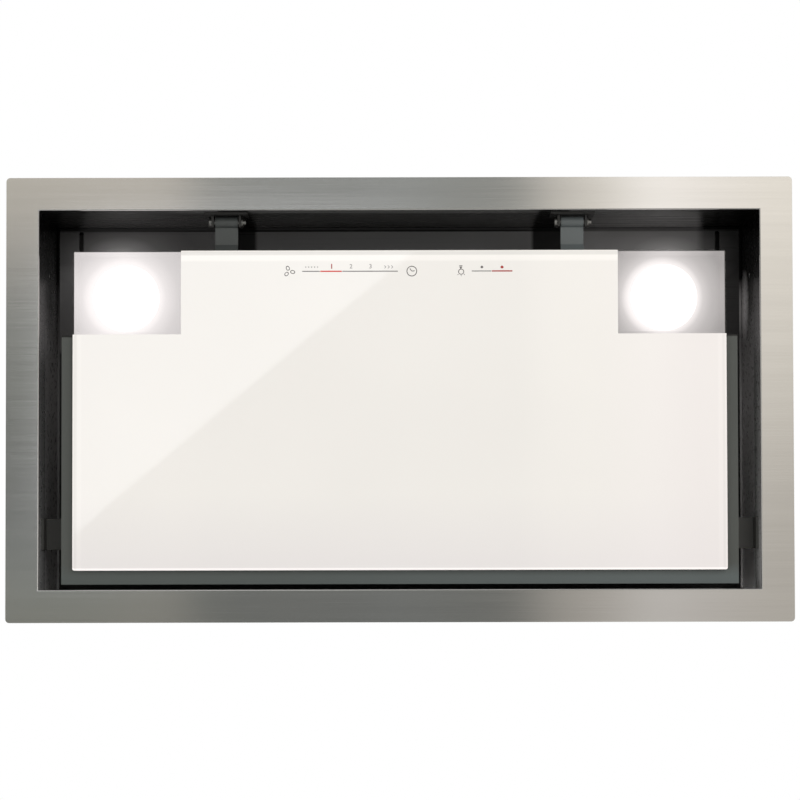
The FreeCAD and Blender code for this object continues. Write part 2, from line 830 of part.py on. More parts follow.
def scroll_outline(drawing, inset):
    """The volute: quarter arcs that grow by one step each, and a straight throat up to the outlet."""
    first = f"(scroll_radius - {inset})"
    second = f"(scroll_radius + scroll_growth - {inset})"
    third = f"(scroll_radius + 2*scroll_growth - {inset})"
    corners = [
        ("0", first),
        (f"-{first}", "0"),
        ("scroll_growth", f"-{second}"),
        (f"scroll_growth + {third}", "scroll_growth"),
        (f"scroll_growth + {third}", "throat_height"),
        (inset, "throat_height"),
    ]
    if inset != "0":
        corners.append((inset, first))
    outline(drawing, corners, {0: (first, True), 1: (second, True), 2: (third, True)})


def scroll_half(side, place):
    """Half of the volute: its side plate with the inlet, half the wrap, and a lug under the casing top."""
    owner = body(f"scroll_{place}")
    outside = sketch(owner, "YZ_Plane")
    scroll_outline(outside, "0")
    pad(owner, outside, "scroll_half_width", reversed_way=side < 0)
    inside = sketch(owner, "YZ_Plane")
    scroll_outline(inside, "scroll_wall")
    pocket(owner, inside, "scroll_half_width - scroll_wall", reversed_way=side > 0)
    holes = sketch(owner, "YZ_Plane")
    circle(holes, "0", "0", "inlet_radius")
    if side < 0:
        for x, y in spider_screw_places():
            circle(holes, x, y, "screw_radius")
    pocket(owner, holes, "scroll_half_width + overcut", reversed_way=side > 0)
    lug = sketch(owner, "XY_Plane", "throat_height - scroll_lug_thick")
    ends = [f"{side}*(scroll_half_width - scroll_wall)", f"{side}*(scroll_half_width + scroll_lug)"]
    rectangle(lug, sorted(ends, key=number), ("scroll_wall", "throat_depth - scroll_wall"))
    pad(owner, lug, "scroll_lug_thick")
    screw_holes = sketch(owner, "XY_Plane", "throat_height + overcut")
    for x, y in lug_screw_places():
        if number(x) * side > 0:
            circle(screw_holes, x, f"{y} - (fan_y)", "screw_radius")
    pocket(owner, screw_holes, "scroll_lug_thick + 2*overcut")
    move(owner, y="fan_y", z="fan_z")
    node(f"scroll_{place}", owner)


def impeller():
    """Double-inlet wheel: a middle disc with a hub, curved blades through it, and a ring at each end."""
    owner = body("impeller")
    disc = sketch(owner, "YZ_Plane")
    circle(disc, "0", "0", "impeller_radius - 2*blade_inset")
    pad(owner, disc, "impeller_disc", midplane=True)
    hub = sketch(owner, "YZ_Plane", "-impeller_disc/2")
    circle(hub, "0", "0", "hub_radius")
    pad(owner, hub, "hub_length + impeller_disc/2")
    for side, _ in SIDES:
        ring = sketch(owner, "YZ_Plane", f"{side}*(impeller_half_width - impeller_ring/2)")
        circle(ring, "0", "0", "impeller_radius")
        circle(ring, "0", "0", "impeller_inner + 2*blade_inset")
        pad(owner, ring, "impeller_ring", midplane=True)
    blade = sketch(owner, "YZ_Plane")
    tip = "impeller_radius - blade_inset"
    corners = [
        ("impeller_inner", "0"),
        (tip, "blade_sweep"),
        (tip, "blade_sweep + blade_thick"),
        ("impeller_inner", "blade_thick"),
    ]
    outline(blade, corners, {0: ("blade_depth", True), 2: ("blade_depth", False)})
    vane = pad(owner, blade, "2*impeller_half_width - impeller_ring", midplane=True)
    DOC.recompute()
    turn = owner.newObject("PartDesign::PolarPattern", "blade_ring")
    turn.Originals = [vane]
    axis = [item for item in owner.Origin.OriginFeatures if item.Role == "X_Axis"]
    turn.Axis = (axis[0], [""])
    turn.Angle = 360
    bind(turn, Occurrences="blade_count")
    owner.Tip = turn
    DOC.recompute()
    bore = sketch(owner, "YZ_Plane")
    circle(bore, "0", "0", "shaft_radius")
    pocket(owner, bore, "4*hub_length", midplane=True)
    move(owner, y="fan_y", z="fan_z")
    node("impeller", owner)
    start = ("bearing_spare - motor_gap - bearing_depth", "fan_y", "fan_z")
    length = "motor_gap + bearing_depth - bearing_spare + hub_length + shaft_tail"
    node("motor_shaft", cylinder(start, "shaft_radius", length, "+x"))
    nut = ring_nut("impeller_nut", "YZ_Plane", "nut_radius", "shaft_radius")
    move(nut, "hub_length", "fan_y", "fan_z")


def spokes():
    """The directions of the motor spider's three arms, in the fan's plane."""
    angles = [math.radians(90 + 120 * step) for step in range(3)]
    return [(math.cos(angle), math.sin(angle)) for angle in angles]


def spider_screw_places():
    """The spider's screws, from the fan's axis."""
    return [(f"spider_reach*{across:.6f}", f"spider_reach*{up:.6f}") for across, up in spokes()]


def motor():
    """Motor in the left inlet, on a three-armed spider with rubber grommets."""
    left = "-(spider_inner)"
    can = cylinder((left, "fan_y", "fan_z"), "motor_radius", "spider_inner - motor_gap", "+x")
    face = ("-motor_gap - bearing_depth", "fan_y", "fan_z")
    bearing = cylinder(face, "shaft_radius + running_gap", "bearing_depth + overcut", "+x")
    node("motor_body", cut(can, bearing))
    plate = body("motor_spider")
    hub = sketch(plate, "YZ_Plane")
    circle(hub, "0", "0", "spider_hub_radius")
    pad(plate, hub, "spider_thick", reversed_way=True)
    for across, up in spokes():
        arm = sketch(plate, "YZ_Plane")
        corners = []
        for reach, half in (("0", -1), ("1", -1), ("1", 1), ("0", 1)):
            along = f"{reach}*(spider_reach + spider_tip)"
            wide = f"{half}*spider_arm/2"
            x = f"{along}*{across:.6f} - {wide}*{up:.6f}"
            corners.append((x, f"{along}*{up:.6f} + {wide}*{across:.6f}"))
        outline(arm, corners)
        pad(plate, arm, "spider_thick", reversed_way=True)
    holes = sketch(plate, "YZ_Plane")
    for x, y in spider_screw_places():
        circle(holes, x, y, "screw_radius")
    pocket(plate, holes, "spider_thick + overcut")
    move(plate, left, "fan_y", "fan_z")
    node("motor_spider", plate)
    rubbers, seats = [], []
    for x, y in spider_screw_places():
        spot = (left, f"fan_y + {x}", f"fan_z + {y}")
        block = cylinder(spot, "grommet_radius", "grommet_thick", "+x")
        rubbers.append(cut(block, drill(spot, "screw_radius", "grommet_thick", "+x")))
        seats.append((f"{left} - spider_thick", *spot[1:]))
    node("motor_grommets", group(*rubbers))
    screws("motor_screws", seats, "+x", "spider_thick + grommet_thick + scroll_wall")


def capacitor():
    """Run capacitor that hangs from the casing top by its stud and nut."""
    low = ("capacitor_x", "capacitor_y", "top_under - capacitor_length")
    can = cylinder(low, "capacitor_radius", "capacitor_length")
    top = ("capacitor_x", "capacitor_y", "top_under - sheet")
    node("capacitor", fuse(can, cylinder(top, "stud_radius", "2*sheet + stud_length")))
    nut = ring_nut("capacitor_nut", "XY_Plane", "nut_radius", "stud_radius")
    move(nut, "capacitor_x", "capacitor_y", "casing_top")


# ---------------------------------------------------------------- electrics on the casing top


def junction_box():
    """Box on the casing top with corner posts for the lid's screws, its lid, and a wire hole."""
    span_x, span_y = ("box_left", "box_right"), ("box_front", "box_rear")
    block = box(span_x, span_y, ("casing_top", "box_top"))
    hollow = box(
        ("box_left + box_wall", "box_right - box_wall"),
        ("box_front + box_wall", "box_rear - box_wall"),
        ("box_floor", "box_top + overcut"),
    )
    inner_face = ("gland_x", "box_front + box_wall", "gland_z")
    neck = drill(inner_face, "gland_neck", "box_wall", "-y")
    wires = drill(("gland_x", "wire_hole_y", "box_floor"), "gland_neck", "box_wall")
    xs = ("box_left + post_inset", "box_right - post_inset")
    ys = ("box_front + post_inset", "box_rear - post_inset")
    corners = [(x, y) for x in xs for y in ys]
    posts = [cylinder((x, y, "box_floor"), "post_radius", "box_height - box_wall") for x, y in corners]
    tapped = [drill((x, y, "box_top"), "screw_radius", "post_hole") for x, y in corners]
    node("junction_box", cut(fuse(cut(block, hollow, neck, wires), *posts), *tapped))
    lid = box(span_x, span_y, ("box_top", "box_top + box_wall"))
    lid_holes = [drill((x, y, "box_top + box_wall"), "screw_radius", "box_wall") for x, y in corners]
    node("junction_cover", cut(lid, *lid_holes))
    seats = [(x, y, "box_top + box_wall") for x, y in corners]
    screws("cover_screws", seats, "-z", "box_wall + post_hole - screw_spare")


def box_fittings():
    """Power board with relays and a transformer, and the terminal block for the mains lead."""
    board_low = "box_front + power_front"
    top = "box_floor + board_thick"
    board = box(
        about("gland_x", "power_width/2"), (board_low, f"{board_low} + power_depth"), ("box_floor", top)
    )
    relay_y = (f"{board_low} + block_inset", f"{board_low} + block_inset + relay_depth")
    relays = [
        box(about(f"gland_x + {step}*relay_pitch", "relay_width/2"), relay_y, (top, f"{top} + relay_height"))
        for step in (-1, 0, 1)
    ]
    rear = f"{board_low} + power_depth - block_inset"
    transformer = box(
        about("gland_x", "transformer_width/2"),
        (f"{rear} - transformer_depth", rear),
        (top, f"{top} + transformer_height"),
    )
    node("power_board", fuse(board, *relays, transformer))
    strip_low = "box_front + strip_front"
    strip_top = "box_floor + strip_height"
    strip = box(
        about("gland_x", "strip_width/2"), (strip_low, f"{strip_low} + strip_depth"), ("box_floor", strip_top)
    )
    middle = f"{strip_low} + strip_depth/2"
    wells = [
        drill((f"gland_x + {step}*well_pitch", middle, strip_top), "well_radius", "well_depth")
        for step in (-1, 0, 1)
    ]
    node("terminal_block", cut(strip, *wells))


def cable_gland():
    """Cable gland in the box's front wall: a collar, a domed nose and a plain bore, with its nut inside."""
    owner = body("cable_gland")
    half = sketch(owner, "YZ_Plane")
    corners = [
        ("gland_inside", "gland_bore"),
        ("gland_inside", "gland_neck"),
        ("0", "gland_neck"),
        ("0", "gland_radius + gland_collar_rim"),
        ("-gland_collar", "gland_radius + gland_collar_rim"),
        ("-gland_collar", "gland_radius"),
        ("gland_round - gland_outside", "gland_radius"),
        ("-gland_outside", "gland_radius - gland_round"),
        ("-gland_outside", "gland_bore"),
    ]
    outline(half, corners, {6: ("gland_round", True)})
    revolve(owner, half, "H_Axis")
    move(owner, "gland_x", "box_front", "gland_z")
    node("cable_gland", owner)
    nut = ring_nut("gland_nut", "XZ_Plane", "gland_nut_radius", "gland_neck", reversed_way=True)
    move(nut, "gland_x", "box_front + box_wall", "gland_z")


# ---------------------------------------------------------------- springs on the casing's sides


def mounting_spring(side, end):
    """Leaf spring that bulges from the casing's side and grips the cut-out."""
    owner = body("spring")
    leaf = sketch(owner, "XZ_Plane")
    corners = [
        ("0", "0"),
        ("0", "-spring_flat"),
        ("spring_bulge", "-spring_knee"),
        ("spring_foot_gap", "-spring_length"),
        ("spring_foot_gap + spring_thick", "-spring_length"),
        ("spring_bulge + spring_thick", "-spring_knee"),
        ("spring_thick", "spring_thick/2 - spring_flat"),
        ("spring_thick", "0"),
    ]
    outline(leaf, [(f"{side}*({x})", z) for x, z in corners])
    pad(owner, leaf, "spring_width", midplane=True)
    hole = sketch(owner, "YZ_Plane")
    circle(hole, "0", "-rivet_inset", "rivet_radius")
    pocket(owner, hole, "4*spring_thick", midplane=True)
    return move(owner, f"{side}*(casing_x)", f"{end}*spring_spacing/2", "spring_top")


def springs():
    rivets = []
    for side, place in SIDES:
        node(f"mounting_springs_{place}", group(*[mounting_spring(side, end) for end in (-1, 1)]))
        for end in (-1, 1):
            seat = (f"{side}*(casing_x + spring_thick)", f"{end}*spring_spacing/2", "rivet_z")
            rivets.append(headed(seat, "+x" if side < 0 else "-x", "spring_thick + sheet", "rivet"))
    node("spring_rivets", group(*rivets))


# ---------------------------------------------------------------- glass panel


def glass_panel():
    """One sheet of glass with small rounded corners and a fine bevel around its face."""
    owner = body("glass_panel")
    face = sketch(owner, "XY_Plane", "glass_low")
    rectangle(face, about("0", "glass_x"), about("0", "glass_y"))
    pad(owner, face, "glass_thick")
    corners = outer_upright(number("glass_x"), number("glass_y"))
    dress(owner, "Fillet", corners, Radius="glass_corner")
    low = number("glass_low")
    dress(owner, "Chamfer", lambda edge: abs(edge.BoundBox.ZMax - low) < 1e-4, Size="glass_bevel")
    move(owner, y="glass_front + glass_y")
    node("glass_panel", owner)


def panel_tray():
    """Painted steel backing with three turned-up edges, taped behind the rear of the glass."""
    plate = box(about("0", "tray_x"), ("tray_front", "tray_rear"), ("tray_low", "tray_rim"))
    hollow = box(
        about("0", "tray_x - tray_sheet"),
        ("tray_front - overcut", "tray_rear - tray_sheet"),
        ("tray_top", "tray_rim + overcut"),
    )
    holes = [drill((x, y, "tray_top"), "screw_radius", "tray_sheet") for x, y in arm_screw_places()]
    node("panel_tray", cut(plate, hollow, *holes))
    edge_x, front, rear = "glass_x - tape_inset", "tray_front + tape_inset", "glass_rear - tape_inset"
    outer = box(about("0", edge_x), (front, rear), ("glass_back", "tray_low"))
    inner = box(
        about("0", f"{edge_x} - tape_width"),
        (f"{front} + tape_width", f"{rear} - tape_width"),
        ("glass_back - overcut", "tray_low + overcut"),
    )
    node("bonding_tape", cut(outer, inner))


def arm_screw_reaches():
    """How far behind the hinge axis each arm's two screws sit."""
    return ["arm_length - arm_screw_end", "arm_length - arm_screw_end - arm_screw_pitch"]


def arm_screw_places():
    return [(f"{side}*(hinge_x)", f"hinge_y + {reach}") for side, _ in SIDES for reach in arm_screw_reaches()]


def hinge_arm(side, place):
    """Strap from the hinge pin down to the back of the glass and along the tray."""
    owner = body(f"hinge_arm_{place}")
    low, half, foot = "(tray_top - hinge_rise)", "arm_thick/2", "arm_flat + arm_ramp"
    strap = sketch(owner, "YZ_Plane")
    corners = [
        ("0", f"-{half}"),
        ("arm_flat", f"-{half}"),
        (foot, low),
        ("arm_length", low),
        ("arm_length", f"{low} + arm_thick"),
        (f"{foot} + {half}", f"{low} + arm_thick"),
        (f"arm_flat + {half}", half),
        ("0", half),
    ]
    outline(strap, corners)
    pad(owner, strap, "arm_width", midplane=True)
    eye = sketch(owner, "YZ_Plane")
    circle(eye, "0", "0", "eye_radius")
    pad(owner, eye, "arm_width", midplane=True)
    bore = sketch(owner, "YZ_Plane")
    circle(bore, "0", "0", "eye_bore")
    pocket(owner, bore, "2*arm_width", midplane=True)
    holes = sketch(owner, "XY_Plane", f"{low} + arm_thick + overcut")
    for reach in arm_screw_reaches():
        circle(holes, "0", reach, "screw_radius")
    pocket(owner, holes, "arm_thick + 2*overcut")
    move(owner, f"{side}*(hinge_x)", "hinge_y", "hinge_rise")
    node(f"hinge_arm_{place}", owner)


def arm_fittings():
    """Screws through the arms' ends, and foam pads between the arms and the glass."""
    places = [(x, y, "tray_top + arm_thick") for x, y in arm_screw_places()]
    screws("arm_screws", places, "-z", "arm_thick + tray_sheet")
    front = "hinge_y + arm_flat + arm_ramp + pad_end_gap"
    pads = [
        box(
            about(f"{side}*(hinge_x)", "arm_width/2 - pad_inset"),
            (front, "tray_front - pad_end_gap"),
            ("glass_back", "tray_top"),
        )
        for side, _ in SIDES
    ]
    node("arm_pads", group(*pads))


def hinge_bracket(side, place):
    """U-shaped bracket on the front upstand, with an ear on each side of the arm."""
    owner = body(f"hinge_bracket_{place}")
    back, web = "-hinge_behind_rim", "bracket_sheet - hinge_behind_rim"
    wing = "ear_out + bracket_wing"
    plan = sketch(owner, "XY_Plane", "-bracket_height/2 - bracket_drop")
    right = [(wing, back), (wing, web), ("ear_out", web)]
    right += [("ear_out", "ear_reach"), ("ear_x", "ear_reach"), ("ear_x", web)]
    left = [(f"-({x})", y) for x, y in reversed(right)]
    outline(plan, right + left)
    pad(owner, plan, "bracket_height")
    trim = sketch(owner, "YZ_Plane")
    span = (web, "ear_reach + overcut")
    rectangle(trim, span, ("-bracket_height", "-ear_margin"))
    rectangle(trim, span, ("ear_margin", "bracket_height"))
    pocket(owner, trim, "4*arm_width", midplane=True)
    bore = sketch(owner, "YZ_Plane")
    circle(bore, "0", "0", "pin_radius")
    pocket(owner, bore, "4*arm_width", midplane=True)
    move(owner, f"{side}*(hinge_x)", "hinge_y", "hinge_rise")
    node(f"hinge_bracket_{place}", owner)


def hinge_pins():
    """Headed pins through the brackets' ears, with a retaining washer on each free end."""
    pins, clips = [], []
    for side, _ in SIDES:
        start = (f"{side}*(hinge_x) - ear_out - pin_head_gap", "hinge_y", "hinge_rise")
        stem = cylinder(start, "pin_radius", "2*(ear_out) + pin_tail", "+x")
        head = cylinder(start, "pin_radius + pin_head_rim", "pin_head_thick", "-x")
        pins.append(fuse(stem, head))
        spot = (f"{side}*(hinge_x) + ear_out + clip_gap", "hinge_y", "hinge_rise")
        disc = cylinder(spot, "pin_radius + clip_rim", "clip_thick", "+x")
        clips.append(cut(disc, drill(spot, "pin_radius", "clip_thick", "+x")))
    node("hinge_pins", group(*pins))
    node("hinge_clips", group(*clips))


def lamp_centre(side):
    """The middle of one lamp's lens, which sits a little off its window's middle."""
    return f"{side}*(lamp_x) + lens_shift_x", "lamp_y + lens_shift_y"


def lamp_housing(side, place):
    """Open-fronted box behind a corner window, with a plate that holds the lens."""
    x, y = about(f"{side}*(lamp_x)", "lamp_half_x"), about("lamp_y", "lamp_half_y")
    inner = (
        about(f"{side}*(lamp_x)", "lamp_half_x - lamp_wall"),
        about("lamp_y", "lamp_half_y - lamp_wall"),
    )
    front = box(*inner, ("glass_back - overcut", "lamp_plate"))
    rear = box(*inner, ("lamp_plate_top", "lamp_top - lamp_wall"))
    opening = drill((*lamp_centre(side), "lamp_plate_top"), "lens_radius + lens_gap", "lamp_wall")
    block = box(x, y, ("glass_back", "lamp_top"))
    node(f"lamp_housing_{place}", cut(block, front, rear, opening))


def lamp_lens(side, place):
    """Opal lens: a shallow dish that drops through the plate and rests on it by a flange."""
    owner = body(f"lamp_lens_{place}")
    half = sketch(owner, "XZ_Plane")
    rim = "lens_radius + lens_flange"
    corners = [
        ("0", "-lens_drop - lens_crown"),
        ("lens_radius - lens_round", "-lens_drop"),
        ("lens_radius", "lens_round - lens_drop"),
        ("lens_radius", "lamp_wall"),
        (rim, "lamp_wall"),
        (rim, "lamp_wall + lens_flange_thick"),
        ("0", "lamp_wall + lens_flange_thick"),
    ]
    outline(half, corners, {1: ("lens_round", True)})
    revolve(owner, half, "V_Axis")
    move(owner, *lamp_centre(side), "lamp_plate")
    node(f"lamp_lens_{place}", owner)


def led_board(side):
    """Board under the housing's roof with a grid of emitters over the lens."""
    x, y = lamp_centre(side)
    top, low = "lamp_top - lamp_wall", "lamp_top - lamp_wall - board_thick"
    board = box(about(x, "led_board_width/2"), about(y, "led_board_depth/2"), (low, top))
    steps = [(column, row) for column in (-1, 0, 1) for row in (-1, 0, 1)]
    emitters = [
        box(
            about(f"{x} + {column}*led_pitch", "led_size/2"),
            about(f"{y} + {row}*led_pitch", "led_size/2"),
            (f"{low} - led_height", low),
        )
        for column, row in steps
    ]
    return fuse(board, *emitters)


def touch_control():
    """Touch board behind the glass, under a plastic cover with a slot for its lead."""
    block = box(
        about("0", "control_x"), ("control_front", "control_rear"), ("glass_back", "control_top")
    )
    hollow = box(
        about("0", "control_x - control_wall"),
        ("control_front + control_wall", "control_rear - control_wall"),
        ("glass_back - overcut", "control_top - control_wall"),
    )
    slot = box(
        about("0", "lead_slot/2"),
        ("control_rear - 2*control_wall", "control_rear + overcut"),
        ("glass_back + board_thick", "glass_back + socket_height"),
    )
    node("control_cover", cut(block, hollow, slot))
    inset = "(control_wall + control_clear)"
    board = box(
        about("0", f"control_x - {inset}"),
        (f"control_front + {inset}", f"control_rear - {inset}"),
        ("glass_back", "glass_back + board_thick"),
    )
    socket_rear = "control_rear - socket_back"
    socket = box(
        about("0", "socket_width/2"),
        (f"{socket_rear} - socket_depth", socket_rear),
        ("glass_back + board_thick/2", "glass_back + socket_height"),
    )
    node("control_board", fuse(board, socket))


def catch_bracket(side):
    """Angle on the recess wall that reaches over the tray's edge and carries the magnet."""
    owner = body("catch_bracket")
    drawing = sketch(owner, "XZ_Plane")
    arm = "recess_x - tray_x + strike_reach"
    plate = "bracket_sheet"
    corners = [("0", "-catch_leg"), ("0", plate), (arm, plate)]
    corners += [(arm, "0"), (plate, "0"), (plate, "-catch_leg")]
    outline(drawing, [(f"{-side}*({x})", z) for x, z in corners])
    pad(owner, drawing, "catch_width", midplane=True)
    return move(owner, f"{side}*(recess_x)", "catch_y", "magnet_top")


def catches():
    """Magnetic catches: bracket and magnet on each side wall, and a strike plate on the tray."""
    magnets, strikes = [], []
    width = about("catch_y", "catch_width/2")
    for side, _ in SIDES:
        middle = f"{side}*(tray_x - strike_reach/2)"
        magnet_y = about("catch_y", "catch_width/2 - magnet_inset")
        magnet_x = about(middle, "strike_reach/2 - magnet_inset")
        magnets.append(box(magnet_x, magnet_y, ("magnet_low", "magnet_top")))
        shelf = box(about(middle, "strike_reach/2"), width, ("tray_rim", "strike_top"))
        leg_x = about(f"{side}*(tray_x - tray_sheet - strike_thick/2)", "strike_thick/2")
        leg = box(leg_x, width, ("tray_rim - strike_leg", "strike_top"))
        strikes.append(fuse(shelf, leg))
    node("catch_brackets", group(*[catch_bracket(side) for side, _ in SIDES]))
    node("catch_magnets", group(*magnets))
    node("strike_plates", group(*strikes))


# ---------------------------------------------------------------- grease filter


def filter_frame():
    """Aluminium channel around the mesh, with two tabs that hang it on the ledge's rear edge."""
    block = box(about("0", "filter_x"), ("filter_front", "filter_rear"), ("filter_low", "filter_top"))
    window = box(
        about("0", "filter_x - filter_rail"),
        ("filter_front + filter_rail", "filter_rear - filter_rail"),
        ("filter_low - overcut", "filter_top + overcut"),
    )
    channel = box(
        about("0", "filter_x - filter_skin"),
        ("filter_front + filter_skin", "filter_rear - filter_skin"),
        ("filter_low + filter_skin", "filter_top - filter_skin"),
    )
    low = "ledge_top + seat_gap"
    tabs = [
        box(
            about(f"{side}*tab_spacing/2", "tab_width/2"),
            ("filter_rear - filter_skin", "filter_rear + tab_reach"),
            (low, f"{low} + tab_thick"),
        )
        for side, _ in SIDES
    ]
    node("filter_frame", fuse(cut(block, window, channel), *tabs))


def mesh_sheet(name, low):
    """Expanded metal as one holed face: rows of diamonds, every other row moved by half a step."""
    half_x = number("filter_x - pack_gap")
    front, rear = number("filter_front + pack_gap"), number("filter_rear - pack_gap")
    level, thick, rail = number(low), number("filter_skin"), number("filter_rail")
    along, across = number("mesh_cell_length/2"), number("mesh_cell_width/2")
    step_x, step_y = number("mesh_cell_length + mesh_bridge"), number("mesh_cell_width + mesh_bridge")

    def loop(points):
        corners = [FreeCAD.Vector(x, y, level) for x, y in points]
        return Part.Face(Part.makePolygon(corners + corners[:1]))

    middle = (front + rear) / 2
    rows = int(((rear - front) / 2 - rail - across) / step_y)
    columns = int((half_x - rail) / step_x) + 1
    gaps = []
    for row in range(-rows, rows + 1):
        y = middle + row * step_y
        for column in range(-columns, columns + 1):
            x = (column + 0.5 * (row % 2)) * step_x
            if abs(x) + along < half_x - rail:
                gaps.append(loop([(x - along, y), (x, y - across), (x + along, y), (x, y + across)]))
    face = loop([(-half_x, front), (half_x, front), (half_x, rear), (-half_x, rear)])
    sheet = DOC.addObject("Part::Feature", name)
    sheet.Shape = face.cut(Part.Compound(gaps)).Faces[0].extrude(FreeCAD.Vector(0, 0, thick))
    node(name, sheet)


def filter_mesh():
    """Outer and inner expanded sheets with the knitted pad pressed between them."""
    mesh_sheet("filter_face", "filter_low + filter_skin")
    mesh_sheet("filter_back", "filter_top - 2*filter_skin")
    pack = box(
        about("0", "filter_x - pack_gap"),
        ("filter_front + pack_gap", "filter_rear - pack_gap"),
        ("filter_low + 2*filter_skin", "filter_top - 2*filter_skin"),
    )
    node("filter_pad", pack)


def handle_bracket():
    """Small plate under the filter's front rail with an ear at each end for the pull."""
    owner = body("handle_bracket")
    drawing = sketch(owner, "XZ_Plane")
    end = "handle_ear_out + handle_ear_edge"
    foot, under = "handle_foot - (filter_low)", "-filter_skin"
    right = [(end, "0"), (end, under), ("handle_ear_out", under)]
    right += [("handle_ear_out", foot), ("handle_ear_x", foot), ("handle_ear_x", under)]
    left = [(f"-({x})", z) for x, z in reversed(right)]
    outline(drawing, right + left)
    pad(owner, drawing, "handle_plate", midplane=True)
    bore = sketch(owner, "YZ_Plane")
    circle(bore, "0", "handle_axis - (filter_low)", "handle_wire + running_gap")
    pocket(owner, bore, "4*handle_width", midplane=True)
    move(owner, y="handle_y", z="filter_low")
    node("handle_bracket", owner)


def filter_handle():
    """Wire pull that hangs from its two ears."""
    owner = body("filter_handle")
    path = sketch(owner, "XZ_Plane")
    tip, leg, low = "handle_ear_out + handle_tip", "handle_leg", "-handle_drop"
    corners = [(f"-({tip})", "0"), (f"-({leg})", "0"), (f"-({leg})", low), (leg, low), (leg, "0"), (tip, "0")]
    outline(path, corners, closed=False)
    ring = sketch(owner, "YZ_Plane", f"-({tip})")
    circle(ring, "0", "0", "handle_wire")
    pipe = owner.newObject("PartDesign::AdditivePipe", "handle_pipe")
    pipe.Profile = ring
    pipe.Spine = (path, [])
    pipe.Transition = "Round corner"
    move(owner, y="handle_y", z="handle_axis")
    node("filter_handle", owner)


def filter_catch(side):
    """Z-shaped bracket on the front of the ledge, with its arm over the filter's front rail."""
    owner = body("filter_catch")
    drawing = sketch(owner, "YZ_Plane")
    tip, top = "opening_front + filter_rail", "filter_magnet_top"
    inner, outer = "opening_front - ledge_catch_gap", "opening_front - ledge_catch_gap - sheet"
    foot = f"{inner} - ledge_catch_foot"
    corners = [
        (foot, "ledge_top"),
        (inner, "ledge_top"),
        (inner, top),
        (tip, top),
        (tip, f"{top} + sheet"),
        (outer, f"{top} + sheet"),
        (outer, "ledge_top + sheet"),
        (foot, "ledge_top + sheet"),
    ]
    outline(drawing, corners)
    pad(owner, drawing, "catch_width", midplane=True)
    return move(owner, f"{side}*tab_spacing/2")


def filter_catches():
    """Brackets on the ledge that hold magnets over the filter's front rail."""
    magnets = [
        box(
            about(f"{side}*tab_spacing/2", "catch_width/2 - magnet_inset"),
            ("filter_front + magnet_inset", "opening_front + filter_rail - magnet_inset"),
            ("filter_top + seat_gap", "filter_magnet_top"),
        )
        for side, _ in SIDES
    ]
    node("filter_catches", group(*[filter_catch(side) for side, _ in SIDES]))
    node("filter_magnets", group(*magnets))


# ---------------------------------------------------------------- build, check and write


def build():
    rim_frame()
    lower_casing()
    ledge_frame()
    upper_casing()
    duct_spigot()
    flap(-1, "flap_front")
    flap(1, "flap_rear")
    impeller()
    motor()
    capacitor()
    junction_box()
    box_fittings()
    cable_gland()
    springs()
    glass_panel()
    panel_tray()
    for side, place in SIDES:
        scroll_half(side, place)
        hinge_arm(side, place)
        hinge_bracket(side, place)
        lamp_housing(side, place)
        lamp_lens(side, place)
    node("led_boards", group(*[led_board(side) for side, _ in SIDES]))
    arm_fittings()
    hinge_pins()
    touch_control()
    catches()
    filter_frame()
    filter_mesh()
    handle_bracket()
    filter_handle()
    filter_catches()


def check():
    """Stops before anything is written if an object failed or a shape is not whole."""
    DOC.recompute()
    failed = [thing.Name for thing in DOC.Objects if {"Invalid", "Error"} & set(thing.State)]
    if failed:
        raise SystemExit(f"these objects failed: {failed}")
    for name, thing in NODES.items():
        shape = thing.Shape
        if shape.isNull() or not shape.isValid() or not shape.Solids or shape.Volume <= 0:
            raise SystemExit(f"{name} has no valid solid")


def write():
    os.makedirs("parts", exist_ok=True)
    for name, thing in NODES.items():
        thing.Shape.exportStep(os.path.join("parts", f"{name}.step"))
    print(f"{len(NODES)} parts written")


fill_sheet()
build()
check()
write()
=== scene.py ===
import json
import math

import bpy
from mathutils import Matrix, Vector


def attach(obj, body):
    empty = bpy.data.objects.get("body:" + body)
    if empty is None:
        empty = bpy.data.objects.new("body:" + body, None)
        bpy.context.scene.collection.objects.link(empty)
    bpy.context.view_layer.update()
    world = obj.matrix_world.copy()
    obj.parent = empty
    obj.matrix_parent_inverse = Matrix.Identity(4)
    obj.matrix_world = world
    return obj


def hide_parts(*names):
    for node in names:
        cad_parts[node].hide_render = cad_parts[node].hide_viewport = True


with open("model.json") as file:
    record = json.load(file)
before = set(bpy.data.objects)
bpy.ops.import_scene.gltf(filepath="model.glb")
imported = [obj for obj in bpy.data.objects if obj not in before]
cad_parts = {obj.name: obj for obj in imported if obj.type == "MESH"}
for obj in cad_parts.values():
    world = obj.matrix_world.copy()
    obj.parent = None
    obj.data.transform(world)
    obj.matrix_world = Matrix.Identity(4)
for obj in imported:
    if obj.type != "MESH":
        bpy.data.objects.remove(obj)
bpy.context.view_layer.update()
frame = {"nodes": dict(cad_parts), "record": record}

# Ceiling range hood seen from below: brushed rim, dark recess, white glass panel with two lamps
# and a touch control, and the casing with its blower above. Sizes of pieces are in millimetres and
# are turned into metres where a piece is made. Patterns and tones are laid out in metres.

MM = 0.001

# ---------------------------------------------------------------- sizes that the pieces share

